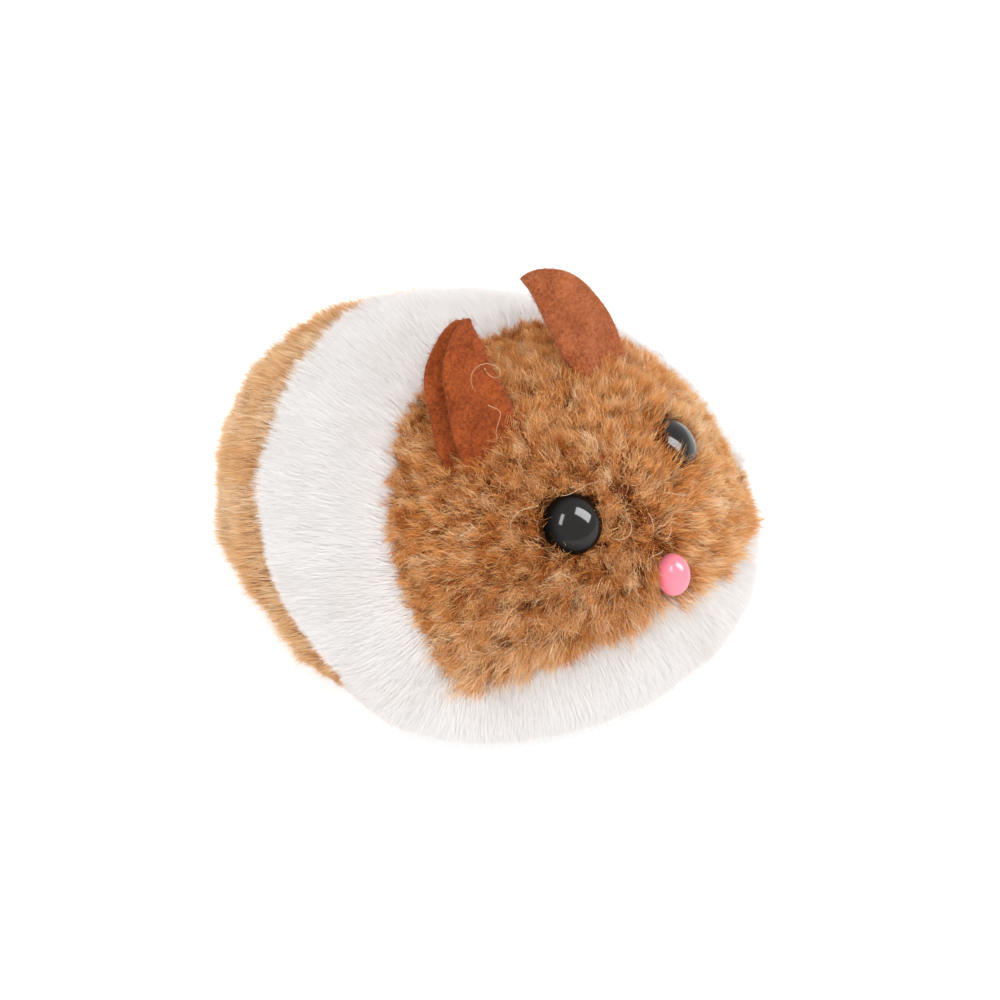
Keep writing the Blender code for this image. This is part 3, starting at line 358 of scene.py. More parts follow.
def seamDistances(points):
    s = seamSettings
    x, y, z = points[..., 0], points[..., 1], points[..., 2]
    face = (y - s["faceStart"] - s["faceSlope"] * z) / math.hypot(1, s["faceSlope"])
    rear = (y - s["rearStart"] - s["rearSlope"] * z) / math.hypot(1, s["rearSlope"])
    chin = z - s["chinHeight"] + s["chinDroop"] * (x / plush["halfWidth"]) ** 2
    return face, rear, chin


# the filling is uneven: a ridge between the eyes, a brow over each, and the left eye deeper than the right
puffSettings = {
    "bridge": {
        "place": (0, -0.0305, 0.0290), "reach": (0.0045, 0.0075, 0.0075), "height": 0.0024, "sides": (1,),
    },
    "leftSocket": {"place": (0.0115, -0.0285, 0.0280), "reach": 0.0065, "height": 0.0009, "sides": (1,)},
    "brow": {
        "place": (0.0125, -0.0225, 0.0350), "reach": (0.0055, 0.0045, 0.0055), "height": 0.0009,
        "sides": (1, -1),
    },
}


def puffAt(points):
    height = np.zeros(points.shape[:-1])
    for s in puffSettings.values():
        for side in s["sides"]:
            height = height + s["height"] * nearness(points, np.array(s["place"]) * [side, 1, 1], s["reach"])
    return height


def plushPoints(turn, rise, out):
    points = domePoints(turn, rise, out)
    face, rear, chin = seamDistances(points)
    near = plush["pinchReach"]
    pull = np.where(chin > 0, bell(face, near), 0) + bell(rear, near)
    pull = pull + np.where(face < 0, bell(chin, near), 0)
    inward = unit(np.array([0, -plush["crownForward"], plush["widestHeight"]]) - points)
    amount = plush["seamPinch"] * np.minimum(pull, 1) * np.maximum(np.cos(rise), 0)
    return points + inward * (amount - puffAt(points))[..., None]


def plushNormals(turn, rise, out):
    step = 0.01
    around = plushPoints(turn + step, rise, out) - plushPoints(turn - step, rise, out)
    higher = np.minimum(rise + step, math.pi / 2)
    upward = plushPoints(turn, higher, out) - plushPoints(turn, rise - step, out)
    return unit(np.cross(around, upward))


def seamRise(turn, inside, low, high):
    # the rise at which each turn crosses a seam, found by halving
    low, high = np.full_like(turn, low), np.full_like(turn, high)
    for _ in range(30):
        middle = (low + high) / 2
        above = inside(domePoints(turn, middle, 0))
        high = np.where(above, middle, high)
        low = np.where(above, low, middle)
    return high


def inFace(points):
    face, _, chin = seamDistances(points)
    return (face < 0) & (chin > 0)


def faceEdge(turn):
    return seamRise(turn, inFace, 0.0, math.pi / 2)


def rearEdge(turn):
    return seamRise(turn, lambda points: seamDistances(points)[1] < 0, -math.pi / 2, math.pi / 2)


# Backing cloth under the pile

skinSettings = {
    "depth": -0.0022, "thickness": 0.0009, "columns": 360, "rows": 70, "lump": 0.00035, "lumpSize": 0.006,
    "trayHalf": (0.0264, 0.0334), "trayPower": 2.8, "hemHeight": -0.0013, "gatherDepth": 0.00022,
    "gathers": 74,
}
clothLook = {
    "scale": 1500, "contrast": 0.8, "roughness": 0.95, "roughSpread": 0.05, "bump": 0.6, "bumpDepth": 0.0003,
}
panelSettings = {
    "face": {"node": "face_cover", "slot": "brown_plush", "colours": ("8a4c22", "5f3013")},
    "rear": {"node": "rear_cover", "slot": "golden_plush", "colours": ("c99460", "a8713f")},
    "body": {"node": "body_cover", "slot": "white_plush", "colours": ("f3eeea", "e2d8d0")},
}


def hemRows(turn, edge):
    # under the body the cloth runs in to the tray in small gathers, then turns up beside it
    s = skinSettings
    angle = np.arctan2(edge[:, 1], edge[:, 0])
    power = s["trayPower"]
    size = (np.abs(np.cos(angle)) ** power + np.abs(np.sin(angle)) ** power) ** (-1 / power)
    tray = np.stack([s["trayHalf"][0] * size * np.cos(angle), s["trayHalf"][1] * size * np.sin(angle)], -1)
    fold = np.sin(s["gathers"] * angle + 1.5 * np.sin(9 * angle))
    rows = []
    for share in np.linspace(0.08, 1, 12):
        flat = edge[:, :2] * (1 - share) + tray * share
        gather = s["gatherDepth"] * math.sin(math.pi * min(share, 0.95)) * fold
        rows.append(np.column_stack([flat, np.full(len(flat), s["hemHeight"] + 0.0002 * share) + gather]))
    for rise in (0.0006, 0.0016, 0.0026):
        rows.append(np.column_stack([tray, np.full(len(tray), s["hemHeight"] + 0.0002 + rise)]))
    return rows


def panelSkin(panel, turn, lowRise, highRise, closed, hemColumns):
    s, p = skinSettings, panelSettings[panel]
    rows = []
    for share in np.linspace(0, 1, s["rows"]):
        rise = lowRise + (highRise - lowRise) * share
        points = plushPoints(turn, rise, np.full_like(turn, s["depth"]))
        outward = plushNormals(turn, rise, s["depth"]) * s["lump"]
        rows.append(points + outward * waves(points, s["lumpSize"], 5))
    points = np.concatenate(rows)
    faces = gridFaces(len(rows), len(turn), closed)
    if len(hemColumns):
        edge = rows[0][hemColumns]
        hem = list(reversed(hemRows(turn[hemColumns], edge))) + [edge]
        faces = np.concatenate([faces, gridFaces(len(hem), len(hemColumns), False) + len(points)])
        points = np.concatenate([points, *hem])
    cloth = grainyMaterial(panel + "Backing", {**clothLook, "colours": p["colours"]})
    piece = addPiece(panel + "Skin", meshOf(panel + "Skin", points, faces), cloth, p["node"])
    joined = piece.modifiers.new("hemSeam", "WELD")
    joined.merge_threshold = 0.00001
    shell = piece.modifiers.new("clothThickness", "SOLIDIFY")
    shell.thickness, shell.offset = s["thickness"], -1


def buildSkins():
    turn = fullTurn(skinSettings["columns"])
    crown = np.full_like(turn, math.pi / 2 - 0.002)
    panelSkin("face", turn, faceEdge(turn), crown, True, [])
    low = rearEdge(turn)
    behind = np.flatnonzero(low > -math.pi / 2 + 0.02)
    foot = np.full(len(behind), -math.pi / 2)
    panelSkin("rear", turn[behind], foot, low[behind], False, np.arange(len(behind)))
    bottom = np.full_like(turn, -math.pi / 2)
    bottom[behind] = low[behind]
    ahead = np.arange(behind[-1] + 1, behind[0] + len(turn)) % len(turn)
    panelSkin("body", turn, bottom, faceEdge(turn), True, ahead)


buildSkins()
print("skins ready")


# Pile: tapered strands gathered into small tufts

eyeSettings = {
    "radius": 0.0042, "dome": 0.0034, "rim": 0.0006, "recess": 0.0013, "turn": -63.8, "rise": 47,
    "crooked": 2.3,
}
noseSettings = {
    "halfWidth": 0.0024, "halfHeight": 0.003, "dome": 0.0031, "recess": 0.0001, "rise": 26.5, "tilt": -16,
}


def surfaceFrame(turn, rise, recess):
    # a frame on the plush with Z out of the body, as the CAD model places its buttons
    step = math.radians(1)

    def at(turn, rise):
        return Vector(domePoints(np.array(turn), np.array(rise), -recess))

    here = at(turn, rise)
    around = at(turn + step, rise) - at(turn - step, rise)
    out = around.cross(at(turn, rise + step) - at(turn, rise - step)).normalized()
    side = around.normalized()
    return Matrix.Translation(here) @ Matrix((side, out.cross(side), out)).transposed().to_4x4()


def eyeFrame(side):
    # the pair sits a little crooked on the real one
    s = eyeSettings
    turn = math.radians(s["turn"] + s["crooked"] * side)
    return surfaceFrame(turn if side > 0 else math.pi - turn, math.radians(s["rise"]), s["recess"])


noseFrame = surfaceFrame(-math.pi / 2, math.radians(noseSettings["rise"]), noseSettings["recess"])
noseFrame = noseFrame @ Matrix.Rotation(math.radians(noseSettings["tilt"]), 4, "Z")
eyeRadius = eyeSettings["radius"]
# frame, half width, half height and how far the pile leans over the rim
buttons = [
    (eyeFrame(1), eyeRadius, eyeRadius, 0.4), (eyeFrame(-1), eyeRadius, eyeRadius, -0.06),
    (noseFrame, noseSettings["halfWidth"], noseSettings["halfHeight"], 0.14),
]

furDefaults = {"stations": 4, "perTuft": 12, "seamGather": 0, "twist": 5, "width": 0.00012}
furSettings = {
    "face": {
        "strands": 165000, "stations": 5, "depth": 0.0026, "length": 0.0039, "spread": 0.16,
        "lengthSwing": 0.12, "lean": 0.48, "leanSwing": 0.45, "tuftLean": 0.5, "tuftSize": 0.0027,
        "stray": 0.27, "perTuft": 24, "gather": 0.55, "curl": 0.0007, "twist": 7, "flat": 0.0, "seed": 11,
    },
    "body": {
        "strands": 260000, "depth": 0.0022, "length": 0.0042, "spread": 0.08, "lengthSwing": 0.05,
        "lean": 0.85, "leanSwing": 0.08, "tuftLean": 0.05, "tuftSize": 0.006, "stray": 0.2,
        "gather": 0.04, "seamGather": 0.55, "curl": 0.0001, "width": 0.0001, "flat": 0.85, "seed": 12,
    },
    "rear": {
        "strands": 90000, "depth": 0.0024, "length": 0.0044, "spread": 0.14, "lengthSwing": 0.12,
        "lean": 0.9, "leanSwing": 0.4, "tuftLean": 0.3, "tuftSize": 0.004, "stray": 0.24,
        "gather": 0.4, "curl": 0.0002, "flat": 0.5, "seed": 13,
    },
}


def scatter(draw, count, wanted):
    # roots spread evenly by area over one panel
    turns, rises = np.zeros(0), np.zeros(0)
    while len(turns) < count:
        turn = draw.uniform(0, 2 * math.pi, 400000)
        rise = draw.uniform(math.radians(-50), math.pi / 2, 400000)
        step = 0.004
        around = domePoints(turn + step, rise, 0) - domePoints(turn - step, rise, 0)
        upward = domePoints(turn, rise + step, 0) - domePoints(turn, rise - step, 0)
        area = np.linalg.norm(np.cross(around, upward), axis=1)
        kept = (draw.uniform(0, area.max(), len(area)) < area) & wanted(domePoints(turn, rise, 0))
        turns, rises = np.concatenate([turns, turn[kept]]), np.concatenate([rises, rise[kept]])
    return turns[:count], rises[:count]


def layOf(panel, root, normal):
    # which way the pile is brushed
    if panel == "face":
        way = root - np.array([0, -0.036, 0.022])
    elif panel == "body":
        way = np.array([0, 1.0, -0.25]) + 0 * root
        under = np.exp(-np.maximum(root[:, 2] - 0.002, 0) / 0.008)[:, None]
        outward = root * [1, 1, 0]
        front = 1 / (1 + np.exp((root[:, 1] + 0.022) / 0.004))[:, None]
        way = way * (1 - front) + front * (unit(outward) + [0, 0, -1.2])
        way = way * (1 - 0.5 * under) + 0.5 * under * unit(outward)
    else:
        way = unit(root * [1, 1, 0]) + [0, 0.8, -0.2]
    return unit(way - normal * np.sum(way * normal, axis=1, keepdims=True))


def rearPile(points):
    # the golden pile spills a little over its seam, and forward along the hem
    low = np.exp(-np.maximum(points[..., 2] - 0.0062, 0) / 0.0035)
    return seamDistances(points)[1] + 0.0008 + 0.0155 * low


def chinPile(points):
    # the brown pile hangs lower on the left side of the chin
    return seamDistances(points)[2] + 0.0028 * held((points[..., 0] + 0.002) / 0.012)


# the left cheek is closer cropped than the right one, and its pile is painted paler and less mottled, as a
# haze of light over it
farCheek = {"place": (0.021, -0.027, 0.022), "reach": (0.012, 0.012, 0.014), "crop": 0.28}


def lengthAt(panel, root):
    # longer over a seam where the pile hangs across it, shorter beyond that seam
    face, rear, chin = seamDistances(root)[0], rearPile(root), chinPile(root)
    height = root[:, 2]
    if panel == "face":
        top = held((height - 0.03) / 0.005)
        cheek = 1 - farCheek["crop"] * nearness(root, farCheek["place"], farCheek["reach"])
        atFace, atChin = bell(face, 0.003), bell(chin, 0.003)
        return cheek * (1 + 0.35 * atChin - (0.2 + 0.25 * top) * atFace)
    if panel == "body":
        under = np.where(face < 0.002, bell(np.maximum(-chin, 0), 0.004), 0)
        over = 0.3 + 0.6 * held((height - 0.028) / 0.005) - 0.5 * held((0.018 - height) / 0.008)
        return 1 + over * bell(rear, 0.0022) - 0.3 * under
    return 0.55 + 0.45 * held(rear / 0.007)


def clearOfButtons(root, length):
    # a little longer and leaning over the rims of the eyes and nose, none under them
    way = np.zeros_like(root)
    for place, halfWidth, halfHeight, cover in buttons:
        inverse = np.array(place.inverted())
        local = root @ inverse[:3, :3].T + inverse[:3, 3]
        away = np.hypot(local[:, 0] / halfWidth, local[:, 1] / halfHeight)
        near = np.abs(local[:, 2]) < 0.006
        length = np.where(near & (away < 1.0), 0, length)
        ring = np.where(near, np.exp(-np.maximum(away - 1, 0) / 0.35), 0)
        length = length * (1 + cover * ring)
        basis = np.array(place)[:3, :3]
        flat = np.column_stack([local[:, 0], local[:, 1], np.zeros(len(local))])
        way -= (unit(flat) @ basis.T) * ring[:, None] * cover
    return length, way


keyRoom = {"place": (0.004, 0.0105), "radius": 0.0085, "x": 0.0347}


def keyLimit(points):
    # beside the winding key the pile stays short under the turning wing
    away = np.hypot(points[..., 1] - keyRoom["place"][0], points[..., 2] - keyRoom["place"][1])
    inReach = (away < keyRoom["radius"]) & (points[..., 0] > 0)
    return np.where(inReach, keyRoom["x"] + np.maximum(away - keyRoom["radius"] + 0.001, 0), 1.0)


def plantStrands(panel, s, draw, wanted):
    # where each strand stands, which way it goes and how long it is
    turn, rise = scatter(draw, s["strands"], wanted)
    root = plushPoints(turn, rise, -s["depth"])
    normal = plushNormals(turn, rise, -s["depth"])
    length = s["length"] * (1 + s["spread"] * draw.normal(size=len(root))).clip(0.5, 1.5)
    length *= 1 + s["lengthSwing"] * waves(root, 0.009, s["seed"] + 3)[:, 0]
    length *= np.clip((root[:, 2] + 0.002) / 0.006, 0.35, 1) * lengthAt(panel, root)
    length, parting = clearOfButtons(root, length)
    kept = length > 0
    root, normal, length, parting = root[kept], normal[kept], length[kept], parting[kept]
    lay = layOf(panel, root, normal)
    lean = s["lean"] * (1 + s["leanSwing"] * waves(root, 0.012, s["seed"] + 1))
    way = normal + lay * lean + s["tuftLean"] * waves(root, s["tuftSize"], s["seed"] + 2, 3) + parting
    way = unit(way + s["stray"] * draw.normal(size=root.shape))
    room = np.minimum(keyLimit(root), keyLimit(root + way * length[:, None])) - root[:, 0]
    length = np.minimum(length, np.maximum(room, 0.0004) / np.maximum(way[:, 0], 0.3))
    return root, normal, length[:, None], way, lay


def bendStrands(s, draw, root, length, way, lay):
    # points along each strand, which droops and curls on its way out
    bend = lay * 0.35 + [0, 0, -0.12]
    curlA = unit(np.cross(way, draw.normal(size=root.shape)))
    curlB = np.cross(way, curlA)
    phase = draw.uniform(0, 2 * math.pi, (len(root), 1))
    spine = []
    for share in np.linspace(0, 1, s["stations"]):
        swing = phase + s["twist"] * share
        swirl = (curlA * np.cos(swing) + curlB * np.sin(swing)) * s["curl"] * share
        spine.append(root + way * (length * share) + bend * (length * 0.5 * share ** 2) + swirl)
    return np.stack(spine, 1)


def gatherStrands(s, draw, root, spine):
    # every strand leans in to the leader of its tuft, the more the nearer its tip
    count = len(root)
    leaders = draw.choice(count, count // s["perTuft"], replace=False)
    tree = KDTree(len(leaders))
    for index, leader in enumerate(leaders):
        tree.insert(root[leader], index)
    tree.balance()
    nearest = leaders[np.fromiter((tree.find(point)[1] for point in root), int, count)]
    gather = s["gather"] + s["seamGather"] * bell(rearPile(root), 0.003)
    gather *= 0.6 + 0.8 * draw.random(count)
    along = np.linspace(0, 1, s["stations"])
    pull = (gather[:, None] * along[None, :] ** 1.4).clip(0, 0.95)[..., None]
    target = spine[nearest] + (spine - spine[nearest]) * 0.12
    spine = spine * (1 - pull) + target * pull
    spine[..., 2] = np.maximum(spine[..., 2], -0.0019)
    spine[..., 0] = np.minimum(spine[..., 0], keyLimit(spine))
    return spine, nearest


def ribbonCorners(s, draw, spine, way, normal):
    # a narrow ribbon along each strand, two corners at each station and one at the tip
    across = unit(np.cross(way, normal + 0.001))
    facing = unit(across * s["flat"] + unit(np.cross(way, draw.normal(size=way.shape))) * (1 - s["flat"]))
    width = s["width"] * (0.75 + 0.5 * draw.random(len(way)))
    last = s["stations"] - 1
    corners = np.zeros((len(way), 2 * last + 1, 3))
    for station, share in enumerate(np.linspace(0, 1, s["stations"])[:-1]):
        half = facing * (width * (1 - 0.75 * share ** 2) / 2)[:, None]
        corners[:, 2 * station] = spine[:, station] - half
        corners[:, 2 * station + 1] = spine[:, station] + half
    corners[:, 2 * last] = spine[:, last]
    return corners


def growFur(panel, wanted, toneOf):
    s = {**furDefaults, **furSettings[panel]}
    draw = np.random.default_rng(s["seed"])
    root, normal, length, way, lay = plantStrands(panel, s, draw, wanted)
    spine = bendStrands(s, draw, root, length, way, lay)
    spine, nearest = gatherStrands(s, draw, root, spine)
    corners = ribbonCorners(s, draw, spine, way, normal)
    count, each = corners.shape[:2]
    tone = toneOf(root, draw.random(count)[nearest], draw.random(count)).clip(0.01, 0.99)
    pattern = [[at, at + 1, at + 3, at, at + 3, at + 2] for at in range(0, each - 3, 2)]
    pattern = np.array(sum(pattern, []) + [each - 3, each - 2, each - 1]).reshape(-1, 3)
    along = np.append(np.repeat(np.linspace(0, 1, s["stations"])[:-1], 2), 1.0)
    # the OFBake UV map holds tone across the strand and height along it
    side = np.append(np.tile([-1, 1], each // 2), 0) * 0.008
    material = strandMaterial(panel + "Strands", strandColours[panel])
    perPiece = 195000 // len(pattern)
    for part, start in enumerate(range(0, count, perPiece)):
        amount = min(start + perPiece, count) - start
        faces = (np.arange(amount)[:, None, None] * each + pattern).reshape(-1, 3)
        name = f"{panel}Fur{part + 1}"
        mesh = meshOf(name, corners[start:start + amount].reshape(-1, 3), faces)
        toneAt, alongAt = np.repeat(tone[start:start + amount], each), np.tile(along, amount)
        storeValues(mesh, "tone", toneAt)
        storeValues(mesh, "along", alongAt)
        uv = np.column_stack([toneAt * 0.98 + 0.01 + np.tile(side, amount), alongAt * 0.98 + 0.01])
        layer = mesh.uv_layers.new(name="OFBake")
        layer.data.foreach_set("uv", uv[faces.ravel()].astype(np.float32).ravel())
        addPiece(name, mesh, material)
    print(panel, count, "strands, tips to", [round(v * 1000, 1) for v in spine[:, -1].max(0)])


def strandMaterial(name, s):
    material, tree, shader = newMaterial(name, s["tips"][1][1], s["roughness"])
    tone = addNode(tree, "Attribute", attribute_name="tone")
    along = addNode(tree, "Attribute", attribute_name="along")
    tips, roots = addRamp(tree, s["tips"], tone), addRamp(tree, s["roots"], tone)
    ends = {"From Min": s["rootEnds"], "From Max": s["tipStarts"]}
    rise = addNode(tree, "MapRange", ends, interpolation_type="SMOOTHSTEP")
    mix = addNode(tree, "Mix", data_type="RGBA")
    join(
        tree, (along, "Fac", rise, "Value"), (rise, "Result", mix, "Factor"), (roots, "Color", mix, "A"),
        (tips, "Color", mix, "B"), (mix, "Result", shader, "Base Color"),
    )
    setInputs(shader, {"Specular IOR Level": s["shine"]})
    return material


strandColours = {
    "face": {
        "tips": [(0.0, "ac5720"), (0.3, "e99e53"), (0.6, "f9c88b"), (1.0, "fee8c6")],
        "roots": [(0.0, "541b06"), (0.5, "984410"), (1.0, "ca7d36")],
        "rootEnds": 0.25, "tipStarts": 0.85, "roughness": 0.6, "shine": 0.1,
    },
    "body": {
        "tips": [(0.0, "f6f1ee"), (0.5, "faf7f5"), (1.0, "fdfbfa")],
        "roots": [(0.0, "f1e9e5"), (1.0, "f7f2ef")],
        "rootEnds": 0.0, "tipStarts": 0.7, "roughness": 0.8, "shine": 0.05,
    },
    "rear": {
        "tips": [(0.0, "dba062"), (0.4, "f0c088"), (0.7, "f8d9b1"), (1.0, "fdeedb")],
        "roots": [(0.0, "c88a4b"), (1.0, "eab77d")],
        "rootEnds": 0.0, "tipStarts": 0.8, "roughness": 0.65, "shine": 0.12,
    },
}
# where the brown pile turns paler or darker, and by how much of its range: paler over the left brow and cheek
# is painted light, a haze over that side; darker in the muzzle pit is painted shade in its hollow; the right
# flank is a little paler
faceShades = {
    "leftBrowPaintedHaze": {"place": (0.017, -0.026, 0.028), "reach": (0.014, 0.014, 0.012), "change": 0.1},
    "leftCheekPaintedHaze": {"place": farCheek["place"], "reach": farCheek["reach"], "change": 0.2},
    "rightFlank": {"place": (-0.025, -0.024, 0.014), "reach": 0.013, "change": 0.06},
    "muzzlePitPaintedShade": {"place": (0.001, -0.0325, 0.0245), "reach": 0.0016, "change": -0.22},
}


def faceTone(root, tuft, strand):
    mottle = 0.06 * waves(root, 0.01, 21)[:, 0] + 0.12 * waves(root, 0.0045, 23)[:, 0]
    # painted light: the tufts of the left cheek lose contrast, as under a haze
    calm = 1 - 0.3 * nearness(root, farCheek["place"], farCheek["reach"])
    tone = 0.42 + mottle + 0.62 * calm * (tuft - 0.5) + 0.28 * (strand - 0.5)
    for s in faceShades.values():
        tone = tone + s["change"] * nearness(root, s["place"], s["reach"])
    # painted shade: the pile turns darker in a ring round each eye, just beyond its rim
    fromEye = np.linalg.norm(np.abs(root * [1, 0, 0]) + root * [0, 1, 1] - [0.0108, -0.0292, 0.0283], axis=1)
    lower, socket = bell(chinPile(root), 0.004), bell(fromEye - 0.0044, 0.0013)
    # painted light: paler along the chin's edge, where the drooping pile faces away from the lamps
    return tone + 0.09 * lower - 0.22 * socket


def evenTone(root, tuft, strand):
    return 0.5 + 0.15 * waves(root, 0.014, 22)[:, 0] + 0.3 * (tuft - 0.5) + 0.3 * (strand - 0.5)


def inRear(points):
    return rearPile(points) > 0


def inBrown(points):
    return (seamDistances(points)[0] < 0) & (chinPile(points) > 0)


def inBody(points):
    return ~inBrown(points) & ~inRear(points)


growFur("face", inBrown, faceTone)
growFur("body", inBody, evenTone)
growFur("rear", inRear, evenTone)
print("pile grown")


# Eyes and nose

buttonLooks = {
    "eyeBlack": {
        "colours": ("120f0c", "0b0908"), "scale": 300, "contrast": 0.4, "bump": 0.02, "roughness": 0.07,
        "roughSpread": 0.02, "coatEnds": (0.62, 0.95),
        "sockets": {"Specular IOR Level": 0.04, "Coat Roughness": 0.09, "Coat IOR": 1.37},
    },
    "nosePink": {
        "colours": ("f58a9d", "f07f93"), "scale": 260, "contrast": 0.5, "bump": 0.03, "bumpDepth": 0.0002,
        "roughness": 0.22, "roughSpread": 0.04,
        "sockets": {"Subsurface Weight": 0.15, "Subsurface Scale": 0.001},
    },
}


def domeMesh(name, place, halfWidth, halfHeight, rim, height, rings=28, segments=72):
    # a smooth button: a short rim below a dome, closed behind
    profile = [(0.0, -0.0003), (0.9, -0.0003), (0.985, 0.0), (1.0, rim)]
    for step in range(1, rings + 1):
        angle = math.pi / 2 * step / rings
        profile.append((math.cos(angle), rim + (height - rim) * math.sin(angle)))
    angle = fullTurn(segments)
    rows = []
    for share, up in profile:
        share = max(share, 0.002)
        across, along = halfWidth * share * np.cos(angle), halfHeight * share * np.sin(angle)
        rows.append(np.column_stack([across, along, np.full(segments, up)]))
    basis = np.array(place)
    points = np.concatenate(rows) @ basis[:3, :3].T + basis[:3, 3]
    mesh = meshOf(name, points, gridFaces(len(rows), segments, True))
    storeValues(mesh, "fromCentre", np.repeat([share for share, up in profile], segments))
    return mesh


def fadeCoat(material, ends):
    # the polish fades towards the rim, where the pile shades it
    tree = material.node_tree
    share = addNode(tree, "Attribute", attribute_name="fromCentre")
    values = {"From Min": ends[0], "From Max": ends[1], "To Min": 1, "To Max": 0}
    fade = addNode(tree, "MapRange", values, interpolation_type="SMOOTHSTEP")
    join(tree, (share, "Fac", fade, "Value"), (fade, "Result", tree.nodes["Principled BSDF"], "Coat Weight"))


def buildButtons():
    e, n = eyeSettings, noseSettings
    black, pink = (grainyMaterial(name, look) for name, look in buttonLooks.items())
    fadeCoat(black, buttonLooks["eyeBlack"]["coatEnds"])
    for name, node, side in (("leftEye", "left_eye", 1), ("rightEye", "right_eye", -1)):
        mesh = domeMesh(name, eyeFrame(side), e["radius"], e["radius"], e["rim"], e["dome"])
        addPiece(name, mesh, black, node)
    mesh = domeMesh("noseButton", noseFrame, n["halfWidth"], n["halfHeight"], e["rim"], n["dome"])
    addPiece("noseButton", mesh, pink, "nose")


buildButtons()


# Ears: a felt leaf folded along its inner edge

earSettings = {
    "foot": (0.00605, -0.01357, 0.0371), "rise": (0, 0.0085, 0.0113), "width": 0.0104, "felt": 0.001,
    "foldHalf": 0.0008, "backWiden": 0.0012, "backSplay": 0.0011, "lift": 0.0012, "baseDrop": 0.0042,
    "rows": 34, "columns": 16, "root": 0.24, "wave": 0.00022,
}
# felt and fuzz colours of each ear; the left ear's are painted paler, a painted haze of light on that side
earFeltsAndPaintedHaze = {
    "leftEar": {"felt": ("bd6a3c", "843c1b"), "fuzz": ("d08c64", "ac633b")},
    "rightEar": {"felt": ("b05524", "6b280c"), "fuzz": ("c8703c", "8e4019")},
}
earLook = {
    "scale": 1900, "contrast": 0.8, "roughness": 0.95, "roughSpread": 0.04, "bump": 1.0, "bumpDepth": 0.0005,
    "sockets": {"Specular IOR Level": 0.05, "Sheen Weight": 0.08, "Sheen Roughness": 0.6},
}


def earMesh(name, side):
    s = earSettings
    foot = np.array(s["foot"]) * [side, 1, 1]
    rise = np.array(s["rise"])
    out = unit(np.array([side, 0, s["lift"] / s["width"]]))
    ahead = unit(np.cross(rise, out)) * -side
    rows = []
    for row in range(s["rows"]):
        share = -s["root"] + (1 + s["root"]) * row / (s["rows"] - 1)
        full = max(share, 0)
        width = s["width"] * max(1 - full ** 2.1, 0) ** 0.52
        drop = s["baseDrop"] * (1 - full) ** 2.2
        line = []
        for leaf, splay, widen in ((1, 0, 0), (-1, s["backSplay"], s["backWiden"])):
            for column in range(s["columns"]):
                across = 1 - column / (s["columns"] - 1) if leaf > 0 else column / (s["columns"] - 1)
                bend = s["foldHalf"] * math.sqrt(1 - (1 - min(across * 6, 1)) ** 2)
                reach = (width + widen * min(width / s["width"] * 1.5, 1)) * across
                offset = leaf * (bend + splay * across)
                sag = np.array([0, 0, drop]) * across ** 1.3
                line.append(foot + rise * share + out * reach + ahead * offset - sag)
            if leaf > 0:
                line.pop()
        rows.append(np.array(line))
    points = np.concatenate(rows)
    points += ahead * s["wave"] * waves(points, 0.009, 31)
    return meshOf(name, points, gridFaces(s["rows"], 2 * s["columns"] - 1, False))


def buildEars():
    for name, node, side in (("leftEar", "left_ear", 1), ("rightEar", "right_ear", -1)):
        tint = earFeltsAndPaintedHaze[name]
        felt = grainyMaterial(name + "Felt", {**earLook, "colours": tint["felt"]})
        piece = addPiece(name, earMesh(name, side), felt, node)
        shell = piece.modifiers.new("felt", "SOLIDIFY")
        shell.thickness, shell.offset = earSettings["felt"], 0
        soft = piece.modifiers.new("roundedEdge", "SUBSURF")
        soft.levels = soft.render_levels = 1
        growFuzz(name + "Fuzz", piece, grainyMaterial(name + "Fuzz", {**fuzzLook, "colours": tint["fuzz"]}))


# short fibres that stand off the felt
fuzzSettings = {"fibres": 10000, "length": 0.0007, "width": 0.00005, "lift": 0.45, "seed": 41}
fuzzLook = {
    "scale": 1900, "contrast": 0.9, "roughness": 0.9, "roughSpread": 0.05, "bump": 0.2,
    "sockets": {"Specular IOR Level": 0.05},
}


def growFuzz(name, felt, material):
    s = fuzzSettings
    graph = bpy.context.evaluated_depsgraph_get()
    shape = felt.evaluated_get(graph).to_mesh()
    shape.calc_loop_triangles()
    corners = np.zeros(len(shape.loop_triangles) * 3, np.int32)
    shape.loop_triangles.foreach_get("vertices", corners)
    points = np.zeros(len(shape.vertices) * 3, np.float32)
    shape.vertices.foreach_get("co", points)
    triangles = points.reshape(-1, 3)[corners.reshape(-1, 3)].astype(float)
    sides = np.cross(triangles[:, 1] - triangles[:, 0], triangles[:, 2] - triangles[:, 0])
    draw = np.random.default_rng(s["seed"])
    area = np.linalg.norm(sides, axis=1)
    chosen = draw.choice(len(area), s["fibres"], p=area / area.sum())
    share = draw.dirichlet((1, 1, 1), s["fibres"])
    root = np.einsum("ij,ijk->ik", share, triangles[chosen])
    normal = unit(sides[chosen])
    way = draw.normal(size=root.shape)
    way = unit(way - normal * np.sum(way * normal, axis=1, keepdims=True))
    way = unit(way + normal * s["lift"] * draw.random((len(root), 1)) * 2)
    length = s["length"] * draw.uniform(0.5, 1.3, (len(root), 1))
    across = unit(np.cross(way, normal)) * s["width"] / 2
    bent = root + way * length * 0.5 + normal * length * 0.12
    tip = bent + unit(way + across * 4000 * draw.normal(size=(len(root), 1))) * length * 0.5
    blades = np.stack([root - across, root + across, bent - across * 0.7, bent + across * 0.7, tip], 1)
    pattern = np.array([[0, 1, 3], [0, 3, 2], [2, 3, 4]])
    faces = (np.arange(len(root))[:, None, None] * 5 + pattern).reshape(-1, 3)
    addPiece(name, meshOf(name, blades.reshape(-1, 3), faces), material)


buildEars()
print("ears, eyes and nose ready")


# A few long hairs that have worked loose, each a thin tube along a coil

hairSettings = {"radius": 0.000045, "taper": 0.6, "stations": 40, "segments": 6}
